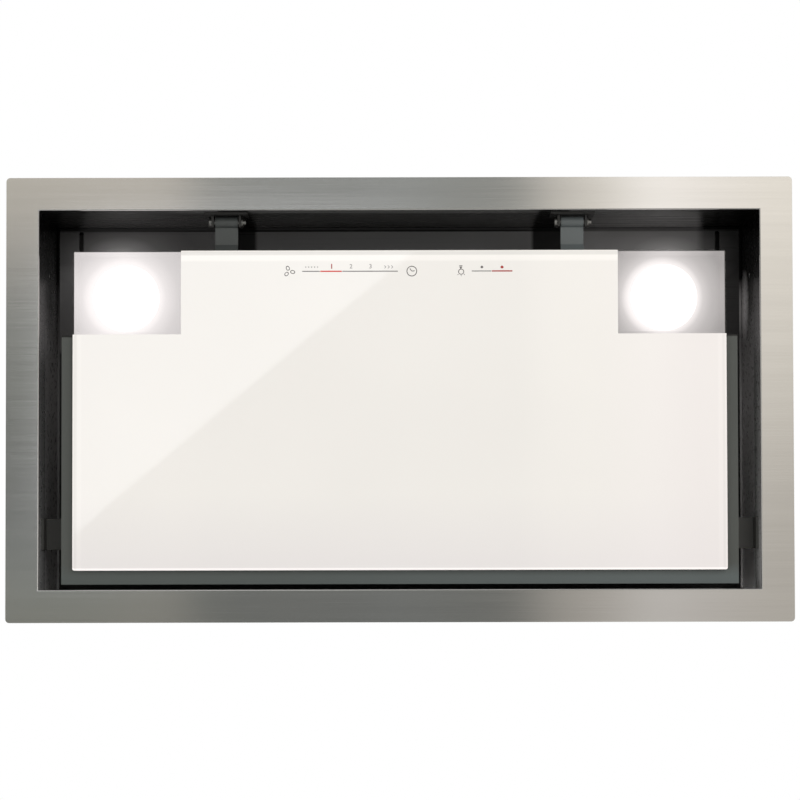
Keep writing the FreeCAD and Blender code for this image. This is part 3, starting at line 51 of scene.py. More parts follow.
RIM_X, RIM_Y, RIM_LOW = 250.0, 141.5, -2.0
RIM_CORNER, RIM_FOLD, RIM_ARRIS = 2.5, 0.8, 0.2
RECESS_X, RECESS_Y = 229.0, 120.5
UPSTAND, UPSTAND_TOP = 1.0, 23.0
GLASS_X, GLASS_FRONT, GLASS_REAR = 208.0, -95.2, 108.5
GLASS_LOW, GLASS_BACK = -0.5, 3.5
GLASS_CORNER, GLASS_ARRIS, GLASS_BACK_ARRIS = 1.5, 0.6, 0.3
WINDOW_X, WINDOW_REAR = 139.0, -41.7
LAMP_Y = -66.95
LAMPS = {"left": -176.4, "right": 170.6}
PRINT_Z, PRINT_THICK = GLASS_LOW - 0.01, 0.06

# ---------------------------------------------------------------- the studio

CAMERA_PLACE = (0, 0.101, -1.402)
CAMERA_TILT, CAMERA_ROLL = 181.6, 0.12
CAMERA_LENS, CAMERA_RISE = 99.43, 0.1208
CARD_Z, CARD_SIZE = -2.15, 5
FLOOR_Z, FLOOR_SIZE = -2.2, 80
ROOM_LIGHT = 0.69
WINDOW_GLOW = (1.5, 1.53, 1.6)
WHITE = (1.0, 1.0, 1.0)


def srgb(red, green, blue):
    """A colour given in 8-bit steps, as the shader wants it."""
    shares = [value / 255 for value in (red, green, blue)]
    return tuple(c / 12.92 if c < 0.04045 else ((c + 0.055) / 1.055) ** 2.4 for c in shares)


def grey(value):
    """A neutral tone between black at 0 and white at 1."""
    return (value, value, value)


def grey_steps(*steps):
    """Ramp stops in grey: (place, value)."""
    return [(place, grey(value)) for place, value in steps]


def place_camera():
    """A long lens below the rear half of the hood, looking up and a little to the front."""
    turn = (math.radians(CAMERA_TILT), 0, math.radians(CAMERA_ROLL))
    bpy.ops.object.camera_add(location=CAMERA_PLACE, rotation=turn)
    camera = bpy.context.object
    camera.data.lens = CAMERA_LENS
    camera.data.shift_y = CAMERA_RISE
    camera.data.clip_start = 0.02
    camera.data.clip_end = 30
    bpy.context.scene.camera = camera
    bpy.context.scene.view_settings.view_transform = "Standard"


def light_room():
    """An even pale room, which the camera, metal and glass see as white."""
    world = bpy.data.worlds.new("room")
    bpy.context.scene.world = world
    world.use_nodes = True
    nodes, links = world.node_tree.nodes, world.node_tree.links
    soft = nodes["Background"]
    soft.inputs["Color"].default_value = (1.0, 0.995, 0.99, 1)
    soft.inputs["Strength"].default_value = ROOM_LIGHT
    white = nodes.new("ShaderNodeBackground")
    white.inputs["Color"].default_value = (*WHITE, 1)
    path = nodes.new("ShaderNodeLightPath")
    seen = path.outputs["Is Camera Ray"]
    for kind in ("Is Glossy Ray", "Is Transmission Ray"):
        either = nodes.new("ShaderNodeMath")
        either.operation = "MAXIMUM"
        links.new(seen, either.inputs[0])
        links.new(path.outputs[kind], either.inputs[1])
        seen = either.outputs[0]
    mix = nodes.new("ShaderNodeMixShader")
    links.new(seen, mix.inputs["Fac"])
    links.new(soft.outputs["Background"], mix.inputs[1])
    links.new(white.outputs["Background"], mix.inputs[2])
    links.new(mix.outputs["Shader"], nodes["World Output"].inputs["Surface"])


def add_lamp(name, place, size, power):
    """A soft studio panel that lights the hood and doesn't mirror in it."""
    bpy.ops.object.light_add(type="AREA", location=place)
    lamp = bpy.context.object
    lamp.name = name
    lamp.data.shape = "DISK"
    lamp.data.size = size
    lamp.data.energy = power
    lamp.rotation_euler = (-Vector(place)).to_track_quat("-Z", "Y").to_euler()
    lamp.visible_glossy = False


class Finish:
    """A material built up from a shader, patterns on object coordinates and a bump."""

    def __init__(self, name, colour, metal=0.0, rough=0.5):
        self.material = bpy.data.materials.new(name)
        self.material.use_nodes = True
        tree = self.material.node_tree
        self.nodes, self.links = tree.nodes, tree.links
        self.shader = self.nodes["Principled BSDF"]
        self.put(self.shader, {"Base Color": colour, "Metallic": metal, "Roughness": rough})

    def put(self, node, values):
        """Sets sockets to constants, or joins them to what feeds them."""
        for socket, value in values.items():
            if isinstance(value, bpy.types.NodeSocket):
                self.links.new(value, node.inputs[socket])
            elif isinstance(value, tuple) and len(value) == 3 and node.inputs[socket].type == "RGBA":
                node.inputs[socket].default_value = (*value, 1)
            else:
                node.inputs[socket].default_value = value

    def add(self, kind, values=None, **settings):
        """A new node with its settings and sockets."""
        node = self.nodes.new("ShaderNode" + kind)
        for setting, value in settings.items():
            setattr(node, setting, value)
        self.put(node, values or {})
        return node

    def show(self, surface):
        """Lets another surface take the place of the plain shader."""
        self.links.new(surface.outputs[0], self.nodes["Material Output"].inputs["Surface"])

    def place(self, scale=(1, 1, 1), shift=(0, 0, 0)):
        """Object coordinates, stretched and moved."""
        coords = self.add("TexCoord").outputs["Object"]
        return self.add("Mapping", {"Vector": coords, "Scale": scale, "Location": shift}).outputs[0]

    def axis(self, letter):
        """One object coordinate."""
        return self.add("SeparateXYZ", {"Vector": self.add("TexCoord").outputs["Object"]}).outputs[letter]

    def reach(self, scale, shift=(0, 0, 0)):
        """Distance from a point, each axis with its own stretch."""
        around = self.place(scale, shift)
        return self.add("VectorMath", {0: around}, operation="LENGTH").outputs["Value"]

    def noise(self, scale, detail=3.0):
        """Noise with its own stretch: a large number in scale makes the grain fine along that axis."""
        return self.add("TexNoise", {"Vector": self.place(scale), "Scale": 1.0, "Detail": detail}).outputs[0]

    def spread(self, value, low, high, to_low=0.0, to_high=1.0):
        """A value stretched from one span to another, and held at its ends."""
        names = {"Value": value, "From Min": low, "From Max": high, "To Min": to_low, "To Max": to_high}
        return self.add("MapRange", names).outputs[0]

    def between(self, noise, low, high):
        """Noise stretched from its usual reach to a low and a high value."""
        return self.spread(noise, 0.3, 0.7, low, high)

    def ramp(self, value, stops):
        """Colours at places from 0 to 1."""
        node = self.add("ValToRGB", {"Fac": value})
        points = node.color_ramp.elements
        while len(points) < len(stops):
            points.new(1.0)
        for point, (place, colour) in zip(points, stops):
            point.position = place
            point.color = (*colour, 1)
        return node.outputs["Color"]

    def mottle(self, noise, dark, light):
        """Noise turned into two colours."""
        return self.ramp(noise, [(0.3, dark), (0.7, light)])

    def blend(self, share, first, second, kind="MIX"):
        """Two colours mixed; 0, 6 and 7 are the colour sockets of the mix, and 2 is its result."""
        node = self.add("Mix", data_type="RGBA", blend_type=kind)
        for index, value in ((0, share), (6, first), (7, second)):
            if isinstance(value, bpy.types.NodeSocket):
                self.links.new(value, node.inputs[index])
            else:
                node.inputs[index].default_value = (*value, 1) if isinstance(value, tuple) else value
        return node.outputs[2]

    def times(self, first, second):
        """A colour dimmed or tinted by another."""
        return self.blend(1.0, first, second, "MULTIPLY")

    def plus(self, first, second):
        """The light of two colours together."""
        return self.blend(1.0, first, second, "ADD")

    def maths(self, kind, first, second):
        """A sum or a comparison; a comparison gives 1 where it holds."""
        return self.add("Math", {0: first, 1: second}, operation=kind).outputs[0]

    def size(self, value):
        """A value without its sign."""
        return self.add("Math", {0: value}, operation="ABSOLUTE").outputs[0]

    def wear(self, height, strength, depth=0.0001):
        """A bump from a pattern."""
        bump = self.add("Bump", {"Height": height, "Strength": strength, "Distance": depth})
        self.put(self.shader, {"Normal": bump.outputs[0]})


def add_plane(name, size, height):
    """A level square below the hood, with its place in its mesh."""
    bpy.ops.mesh.primitive_plane_add(size=1, location=(0, 0, height))
    plane = bpy.context.object
    plane.name = name
    plane.scale = (size, size, 1)
    bpy.ops.object.transform_apply(location=True, rotation=True, scale=True)
    return plane


CARD_ACROSS = [
    (0.0, (0.76, 0.725, 0.645)),
    (0.274, (0.78, 0.73, 0.65)),
    (0.304, (0.39, 0.40, 0.38)),
    (0.45, (0.39, 0.40, 0.385)),
    (0.50, (0.43, 0.445, 0.435)),
    (0.56, (0.40, 0.41, 0.39)),
    (0.62, (0.34, 0.35, 0.335)),
    (0.652, (0.87, 0.83, 0.76)),
    (0.70, (1.02, 0.96, 0.87)),
    (0.755, (1.60, 1.54, 1.48)),
    (0.80, (1.36, 1.29, 1.22)),
    (0.87, (1.25, 1.18, 1.07)),
]
CARD_LEFT_FALL = [
    (0.0, WHITE),
    (0.1, (0.80, 0.80, 0.82)),
    (0.26, (0.44, 0.475, 0.50)),
    (0.49, (0.335, 0.365, 0.375)),
    (0.72, (0.32, 0.347, 0.377)),
    (0.88, (0.40, 0.445, 0.485)),
    (0.94, (0.47, 0.515, 0.53)),
    (0.98, (0.39, 0.42, 0.42)),
]
CARD_MIDDLE_FALL = grey_steps((0.0, 1.0), (0.1, 1.0), (0.5, 0.62), (0.9, 0.62), (0.98, 0.56))
CARD_RIGHT_FALL = grey_steps((0.0, 1.0), (0.26, 0.86), (0.5, 0.74), (0.72, 0.58), (0.95, 0.52))
CARD_HALF = 0.8
CARD_FRONT, CARD_REAR = -0.50, 0.20
WINDOW_LEFT_EDGE, WINDOW_FRONT_EDGE = -0.525, -0.40
SLANT_EAST, SLANT_NORTH, SLANT_AWAY = -0.644, -0.765, 0.290


def mirror_card():
    """A card under the hood that only its metal and glass reflect.

    It is dim in the middle, brighter at the left and brightest at the right, and fades to the rear.
    A soft window of light with one slanting edge lies across its front left part.
    """
    glow = Finish("card_light", (0, 0, 0))
    east, north = glow.axis("X"), glow.axis("Y")
    across = glow.ramp(glow.spread(east, -CARD_HALF, CARD_HALF), CARD_ACROSS)
    front_to_rear = glow.spread(north, CARD_FRONT, CARD_REAR)
    left_fall = glow.ramp(front_to_rear, CARD_LEFT_FALL)
    middle_fall = glow.ramp(front_to_rear, CARD_MIDDLE_FALL)
    right_fall = glow.ramp(front_to_rear, CARD_RIGHT_FALL)
    fall = glow.blend(glow.spread(east, -0.5, -0.2), left_fall, middle_fall)
    fall = glow.blend(glow.spread(east, 0.2, 0.4), fall, right_fall)
    room = glow.times(across, fall)
    slant_east = glow.maths("MULTIPLY", east, SLANT_EAST)
    slant_north = glow.maths("MULTIPLY", north, SLANT_NORTH)
    window = glow.maths("GREATER_THAN", glow.maths("ADD", slant_east, slant_north), SLANT_AWAY)
    window = glow.maths("MULTIPLY", window, glow.maths("GREATER_THAN", east, WINDOW_LEFT_EDGE))
    window = glow.maths("MULTIPLY", window, glow.maths("GREATER_THAN", north, WINDOW_FRONT_EDGE))
    glow.show(glow.add("Emission", {"Color": glow.blend(window, room, WINDOW_GLOW), "Strength": 1.0}))
    card = add_plane("mirror_card", CARD_SIZE, CARD_Z)
    card.data.materials.append(glow.material)
    card.visible_camera = card.visible_diffuse = card.visible_shadow = card.visible_transmission = False


def pale_floor():
    """A pale floor with a faint shadow below the hood, which the camera sees fade to white further out."""
    pale = Finish("pale_floor", srgb(236, 235, 232), rough=0.8)
    pale.wear(pale.noise((40, 40, 40)), 0.05)
    away = pale.spread(pale.reach((1, 1, 0)), 1.5, 6.0, 0.75, 1.0)
    share = pale.maths("MULTIPLY", pale.add("LightPath").outputs["Is Camera Ray"], away)
    white = pale.add("Emission", {"Color": WHITE, "Strength": 1.0})
    pale.show(pale.add("MixShader", {0: share, 1: pale.shader.outputs[0], 2: white.outputs[0]}))
    floor = add_plane("floor", FLOOR_SIZE, FLOOR_Z)
    floor.data.materials.append(pale.material)


# ---------------------------------------------------------------- finishes


def brushed_steel():
    """Stainless sheet, brushed lengthwise."""
    steel = Finish("brushed_steel", (0.6, 0.595, 0.58), metal=1.0, rough=0.11)
    fine = steel.noise((12, 2600, 2600), detail=2.0)
    broad = steel.noise((2.5, 110, 110), detail=4.0)
    tone = steel.maths("ADD", steel.between(fine, -0.5, 0.5), steel.between(broad, -0.5, 0.5))
    dark, light = (0.575, 0.57, 0.558), (0.625, 0.62, 0.608)
    colour = steel.ramp(steel.spread(tone, -0.8, 0.8), [(0, dark), (1, light)])
    steel.put(steel.shader, {"Base Color": colour, "Roughness": steel.between(fine, 0.09, 0.13)})
    steel.wear(fine, 0.18, 0.00002)
    return steel.material


def satin_metal(name, dark, light, rough, grain=(60, 60, 60)):
    """Plated or bare metal with a soft mottle and a fine grain."""
    metal = Finish(name, light, metal=1.0, rough=rough)
    cloud = metal.noise(grain, detail=5.0)
    fine = metal.noise((900, 900, 900), detail=2.0)
    satin = metal.between(fine, rough - 0.06, rough + 0.06)
    metal.put(metal.shader, {"Base Color": metal.mottle(cloud, dark, light), "Roughness": satin})
    metal.wear(fine, 0.08, 0.00003)
    return metal.material


def moulded(name, colour, rough):
    """Moulded plastic or rubber with a fine spark-eroded skin."""
    plastic = Finish(name, colour, rough=rough)
    skin = plastic.noise((1400, 1400, 1400), detail=2.0)
    cloud = plastic.noise((35, 35, 35), detail=3.0)
    dark = tuple(c * 0.92 for c in colour)
    light = tuple(min(1.0, c * 1.04) for c in colour)
    texture = plastic.between(skin, rough - 0.05, rough + 0.05)
    plastic.put(plastic.shader, {"Base Color": plastic.mottle(cloud, dark, light), "Roughness": texture})
    plastic.wear(skin, 0.15, 0.00004)
    return plastic.material


def spray(coat, tone):
    """Lays a sprayed coat of one tone, with soft clouding and a slight orange peel."""
    cloud = coat.noise((14, 14, 14), detail=4.0)
    peel = coat.noise((520, 520, 520), detail=2.0)
    shade = coat.mottle(cloud, grey(0.93), WHITE)
    coat.put(coat.shader, {"Base Color": coat.times(tone, shade)})
    coat.wear(peel, 0.12, 0.00008)
    return coat.material


def coated_sheet(name, left, right, rough):
    """Sprayed sheet steel, its tone drifting from left to right as painted light."""
    coat = Finish(name, left, rough=rough)
    return spray(coat, coat.blend(coat.spread(coat.axis("X"), -0.2, 0.2), left, right))


def tray_coat():
    """Tray grey: a little bluer along its rear and painted lighter there to the right; a painted shadow on
    its folded front edge.
    """
    coat = Finish("tray_grey", srgb(76, 80, 77), rough=0.45)
    north = coat.axis("Y")
    rear = coat.blend(coat.spread(coat.axis("X"), -0.16, 0.16), srgb(74, 80, 78), srgb(84, 92, 92))
    tone = coat.blend(coat.spread(north, 0.104, 0.113), srgb(71, 74, 71), rear)
    tone = coat.blend(coat.spread(north, -0.0408, -0.0400), grey(0.001), tone)
    return spray(coat, tone)


# The recess is coloured with painted light and shade: black in its front corners and seams, painted
# shadows beside the straps, and lighter to the right, to the rear and round the lamps. It looks narrower
# with its height, so its tones narrow too: SHRINK is the share at the ledge. AT_SIDE and AT_FRONT lie
# just inside its walls, and the faces of the lower casing within LINED and below LINED_Z take these
# painted tones. Steps across run from the left wall to the right wall.

LEDGE_Z = 79.0
SHRINK = 0.945
TONES_X = 230.0
AT_SIDE, AT_FRONT = 228.3, -119.8
STRAP_MIDDLE = -3.5
LINED_Z = 91.2
LINED = {"X": 230.6, "Y": 122.1}
LINED_SHEEN = 0.1
# Painted light and shade across the ledge, darker at the left and lighter to the right.
LEDGE_ACROSS = grey_steps(
    (0.0275, 0.062), (0.122, 0.06), (0.2165, 0.105), (0.358, 0.155), (0.528, 0.17),
    (0.642, 0.19), (0.774, 0.25), (0.865, 0.15), (0.9105, 0.15), (0.9205, 0.026),
)
# Painted shadow in the seam between the ledge and the front wall, along its width.
SEAM_SHADOW_ACROSS = grey_steps((0.1, 0.4), (0.3, 0.06), (0.66, 0.05), (0.78, 0.5))
# Painted light and shade across the front wall: black at its corners, lighter to the right.
WALL_ACROSS = grey_steps(
    (0.0, 0.004), (0.055, 0.012), (0.068, 0.07), (0.25, 0.075), (0.55, 0.072),
    (0.65, 0.09), (0.8, 0.18), (0.9115, 0.19), (0.9215, 0.002),
)
# Painted light up the front wall, lighter with its height, and a painted shadow at its top seam.
WALL_UPWARDS = grey_steps(
    (0.12, 0.44), (0.25, 0.54), (0.375, 0.76), (0.56, 1.0),
    (0.75, 1.2), (0.875, 1.5), (0.975, 1.7), (0.985, 0.5),
)
# The rim's fold at the foot of the front wall, with painted shade at both ends.
FOLD_ACROSS = grey_steps(
    (0.06, 0.004), (0.07, 0.02), (0.17, 0.035), (0.22, 0.1),
    (0.7, 0.1), (0.8, 0.07), (0.9105, 0.055), (0.9205, 0.002),
)
# Painted shadows of the straps on the wall and the ledge, just inboard of each strap; STRAP_MIDDLE lies
# midway between them.
STRAP_SHADE = grey_steps((0.22, 1.0), (0.3, 0.1), (0.885, 0.1), (0.925, 1.0))
# Painted glow of each lamp on the ledge, falling off with the distance from it.
PAINTED_LAMP_GLOW = grey_steps((0.0, 0.55), (0.25, 0.27), (0.5, 0.1), (0.8, 0.03), (1.0, 0.0))
# Painted shade on the side walls: black at the front, grey towards the rear.
FLANK_REARWARDS = grey_steps(
    (0.0, 0.001), (0.145, 0.001), (0.23, 0.02), (0.5, 0.29), (0.8, 0.40), (1.0, 0.75),
)


def ledge_tone(coat, across, north):
    """Painted light and shade on the ledge: lamp glow, lighter sides, shade behind the lamps, shadow line at
    the wall.
    """
    tone = coat.ramp(across, LEDGE_ACROSS)
    # Painted glow of the lamps on the ledge.
    for middle in LAMPS.values():
        away = coat.reach((1, 1.9, 0), (-1.058 * middle * MM, 0.195, 0))
        tone = coat.plus(tone, coat.ramp(coat.spread(away, 0.0, 0.05), PAINTED_LAMP_GLOW))
    # Painted light: the ledge's sides are lighter than its front strip.
    lighter_flanks = coat.ramp(coat.spread(north, -0.1, -0.08), grey_steps((0.1, 1.0), (0.8, 2.3)))
    tone = coat.times(tone, lighter_flanks)
    # Painted shade behind the lamps.
    tone = coat.blend(coat.spread(north, -0.0405, -0.036), tone, grey(0.045))
    # A painted shadow line along the seam with the front wall.
    seam_shadow = coat.blend(coat.spread(north, -0.1190, -0.1184), coat.ramp(across, SEAM_SHADOW_ACROSS), WHITE)
    return coat.times(tone, seam_shadow)


def wall_tone(coat, across, height):
    """The front wall in painted light and shade: paler with its height, dark at its top seam, and the rim's
    fold at its foot.
    """
    upwards = coat.ramp(coat.spread(height, 0.0, 0.08), WALL_UPWARDS)
    tone = coat.times(coat.ramp(across, WALL_ACROSS), upwards)
    return coat.blend(coat.spread(height, 0.009, 0.011), coat.ramp(across, FOLD_ACROSS), tone)


def flank_tone(coat, across, north, height):
    """The side walls in painted shade: black at the front, grey to the rear, each with a painted highlight by
    its lamp.
    """
    tone = coat.ramp(coat.spread(north, -0.12, 0.12), FLANK_REARWARDS)
    # Painted light: the right wall is twice as light as the left.
    tone = coat.times(tone, coat.ramp(across, grey_steps((0.4, 1.0), (0.6, 2.0))))
    away = coat.reach((0, 1, 1.3), (0, -LAMP_Y * MM, -0.087))
    painted_glint = coat.ramp(coat.spread(away, 0.0, 0.025), grey_steps((0.0, 0.22), (0.5, 0.12), (1.0, 0.0)))
    painted_glint = coat.times(painted_glint, coat.ramp(across, grey_steps((0.4, 0.25), (0.6, 4.0))))
    # Painted shade: the upstand at the foot of the side walls is darker.
    upstand = coat.ramp(coat.spread(height, 0.0, 0.05), grey_steps((0.46, 0.3), (0.48, 1.0)))
    return coat.times(coat.plus(tone, painted_glint), upstand)


def recess_painted_shading(coat):
    """Painted light and shade of the recess: black in its front corners, lighter to the right and round the
    lamps.
    """
    east, north, height = coat.axis("X"), coat.axis("Y"), coat.axis("Z")
    narrowing = coat.spread(height, 0.0, LEDGE_Z * MM, 1.0, SHRINK)
    across = coat.spread(coat.maths("MULTIPLY", east, narrowing), -TONES_X * MM, TONES_X * MM)
    # Painted shadows beside the straps, on the wall and the front of the ledge.
    beside_strap = coat.spread(coat.size(coat.maths("SUBTRACT", east, STRAP_MIDDLE * MM)), 0.085, 0.115)
    shade = coat.blend(coat.spread(north, -0.1, -0.09), coat.ramp(beside_strap, STRAP_SHADE), WHITE)
    ledge = coat.times(ledge_tone(coat, across, north), shade)
    wall = coat.times(wall_tone(coat, across, height), shade)
    in_front = coat.maths("LESS_THAN", north, AT_FRONT * MM)
    at_side = coat.maths("GREATER_THAN", coat.size(east), AT_SIDE * MM)
    return coat.blend(at_side, coat.blend(in_front, ledge, wall), flank_tone(coat, across, north, height))


def lining_with_painted_shading():
    """Semi-gloss grey inside the recess, drawn lengthwise, coloured with the recess's painted light and
    shade.
    """
    painted_recess_shading = Finish("lining_with_painted_shading", (0.03, 0.03, 0.029), rough=0.3)
    streak = painted_recess_shading.noise((6, 500, 500), detail=3.0)
    drawn = painted_recess_shading.between(streak, 0.25, 0.37)
    painted_recess_shading.put(painted_recess_shading.shader, {"Base Color": recess_painted_shading(painted_recess_shading), "Roughness": drawn})
    painted_recess_shading.put(painted_recess_shading.shader, {"Specular IOR Level": LINED_SHEEN})
    painted_recess_shading.wear(streak, 0.05, 0.00003)
    return painted_recess_shading.material


def casing_coat(lined):
    """Satin grey sheet; on the lower casing the faces round the recess take the recess's painted light and
    shade.
    """
    coat = Finish("casing_lined" if lined else "casing_grey", (0.4, 0.41, 0.4), rough=0.45)
    cloud = coat.noise((9, 9, 9), detail=5.0)
    brushed = coat.noise((7, 300, 300), detail=3.0)
    tone = coat.mottle(cloud, (0.36, 0.37, 0.365), (0.43, 0.44, 0.43))
    tone = coat.blend(0.2, tone, coat.mottle(brushed, grey(0.34), grey(0.5)))
    rough = coat.between(brushed, 0.38, 0.5)
    if lined:
        inside = coat.maths("LESS_THAN", coat.axis("Z"), LINED_Z * MM)
        for letter, limit in LINED.items():
            within = coat.maths("LESS_THAN", coat.size(coat.axis(letter)), limit * MM)
            inside = coat.maths("MULTIPLY", inside, within)
        tone = coat.blend(inside, tone, recess_painted_shading(coat))
        rough = coat.maths("SUBTRACT", rough, coat.maths("MULTIPLY", inside, 0.14))
    coat.put(coat.shader, {"Base Color": tone, "Roughness": rough})
    coat.put(coat.shader, {"Specular IOR Level": LINED_SHEEN if lined else 0.5})
    coat.wear(brushed, 0.05, 0.00004)
    return coat.material


# Painted glow on each lamp housing: how far its middle lies off the lens, and its levels out from it.
LAMP_DRIFT = {"left": 1.0, "right": 1.2}
LAMP_FALL = {
    "left": [(0.43, 255), (0.48, 247), (0.54, 232), (0.6, 224), (0.7, 211), (0.8, 205), (0.9, 200)],
    "right": [(0.43, 255), (0.48, 236), (0.53, 209), (0.6, 194), (0.64, 186), (0.72, 177), (0.84, 158)],
}


def painted_lamp_glow(side):
    """White moulding with a painted glow from its lens, falling off with the distance from it."""
    plate = Finish(f"painted_lamp_glow_{side}", (0.02, 0.02, 0.02), rough=0.6)
    away = plate.reach((1, 1, 0), ((LAMP_DRIFT[side] - LAMPS[side]) * MM, -LAMP_Y * MM, 0))
    stops = [(place, srgb(level, level * 0.972, level * 0.97)) for place, level in LAMP_FALL[side]]
    glow = plate.ramp(plate.spread(away, 0.0, 0.05), stops)
    skin = plate.mottle(plate.noise((900, 900, 900)), grey(0.6), WHITE)
    glow = plate.blend(0.06, glow, skin, "MULTIPLY")
    plate.put(plate.shader, {"Specular IOR Level": 0.0, "Emission Color": glow, "Emission Strength": 1.09})
    return plate.material


def opal_lens():
    """The lit disc of a lamp."""
    lens = Finish("opal_lens", (0.9, 0.9, 0.88), rough=0.3)
    frost = lens.mottle(lens.noise((700, 700, 700)), (1, 0.99, 0.97), (1, 1, 0.99))
    lens.put(lens.shader, {"Emission Color": frost, "Emission Strength": 1.25})
    return lens.material


# Painted light and shade near the edges of the glass, for the light that gathers there: how far in, over 10
# mm, and how bright.
GLASS_FRONT_EDGE_LIGHT = grey_steps(
    (0.0, 1.03), (0.06, 1.03), (0.12, 0.9), (0.28, 0.93), (0.35, 1.09), (0.6, 1.09), (0.75, 1.0),
)
GLASS_SIDE_EDGE_LIGHT = grey_steps(
    (0.0, 1.08), (0.09, 1.07), (0.14, 0.96), (0.25, 0.97), (0.32, 1.03), (0.5, 1.03), (0.62, 1.0),
)
GLASS_REAR_EDGE_LIGHT = grey_steps((0.0, 1.3), (0.11, 1.3), (0.18, 1.0), (0.4, 1.0))


def painted_glass():
    """Clear front over an off-white coat on the back, with painted light and shade near its edges."""
    glass = Finish("white_glass", srgb(242, 238, 232), rough=0.03)
    east, north = glass.axis("X"), glass.axis("Y")
    cloud = glass.noise((7, 7, 7), detail=2.0)
    tone = glass.ramp(cloud, [(0.35, srgb(242, 239, 235)), (0.65, srgb(244, 241, 237))])
    # Painted shade: the coat is a little darker towards the rear and towards the right.
    tone = glass.blend(glass.spread(north, 0.06, 0.105), tone, srgb(236, 232, 231))
    tone = glass.blend(glass.spread(east, 0.12, 0.19, 0.0, 0.5), tone, srgb(236, 229, 229))
    painted_edge_light = (
        (glass.maths("SUBTRACT", north, GLASS_FRONT * MM), GLASS_FRONT_EDGE_LIGHT),
        (glass.maths("SUBTRACT", GLASS_X * MM, glass.size(east)), GLASS_SIDE_EDGE_LIGHT),
        (glass.maths("SUBTRACT", GLASS_REAR * MM, north), GLASS_REAR_EDGE_LIGHT),
    )
    for inwards, steps in painted_edge_light:
        tone = glass.times(tone, glass.ramp(glass.spread(inwards, 0.0, 0.01), steps))
    glass.put(glass.shader, {"Base Color": tone, "IOR": 1.5, "Coat Weight": 0.5, "Coat Roughness": 0.02})
    return glass.material


def clear_glass():
    """The unpainted corner of the sheet over a lamp."""
    glass = Finish("clear_glass", WHITE, rough=0.02)
    tint = glass.mottle(glass.noise((60, 60, 60)), (0.965, 0.968, 0.965), (0.975, 0.978, 0.975))
    through = glass.add("BsdfTransparent", {"Color": tint})
    sheen = glass.add("BsdfGlossy", {"Color": WHITE, "Roughness": 0.03})
    outside = glass.maths("SUBTRACT", 1.0, glass.add("NewGeometry").outputs["Backfacing"])
    share = glass.maths("MULTIPLY", glass.add("Fresnel", {"IOR": 1.45}).outputs[0], outside)
    glass.show(glass.add("MixShader", {0: share, 1: through.outputs[0], 2: sheen.outputs[0]}))
    return glass.material


def circuit_board():
    """Green board with a pattern of tracks."""
    board = Finish("circuit_board", (0.02, 0.12, 0.05), rough=0.35)
    greens = {"Color1": (0.02, 0.13, 0.05), "Color2": (0.02, 0.10, 0.04), "Mortar": (0.05, 0.22, 0.09)}
    lanes = board.add("TexBrick", {"Vector": board.place((160, 160, 160)), **greens}, offset=0.3)
    board.put(board.shader, {"Base Color": lanes.outputs["Color"]})
    board.wear(lanes.outputs["Fac"], 0.2, 0.00005)
    return board.material


def knitted_wire():
    """The filter's pad of knitted aluminium wire."""
    wire = Finish("knitted_wire", (0.5, 0.5, 0.5), metal=1.0, rough=0.35)
    loops = {"Vector": wire.place((420, 420, 420)), "Scale": 1.0}
    weave = wire.add("TexVoronoi", loops, feature="DISTANCE_TO_EDGE").outputs[0]
    wire.put(wire.shader, {"Base Color": wire.ramp(weave, grey_steps((0.02, 0.75), (0.25, 0.10)))})
    wire.wear(weave, 0.6, 0.0004)
    return wire.material


def print_ink(name, colour):
    """Ceramic ink fired on the glass."""
    ink = Finish(name, colour, rough=0.3)
    grain = ink.noise((3000, 3000, 3000), detail=1.0)
    pale = tuple(min(1.0, c * 1.25) for c in colour)
    ink.put(ink.shader, {"Base Color": ink.ramp(grain, [(0.35, colour), (0.7, pale)])})
    ink.wear(grain, 0.05, 0.00001)
    return ink.material


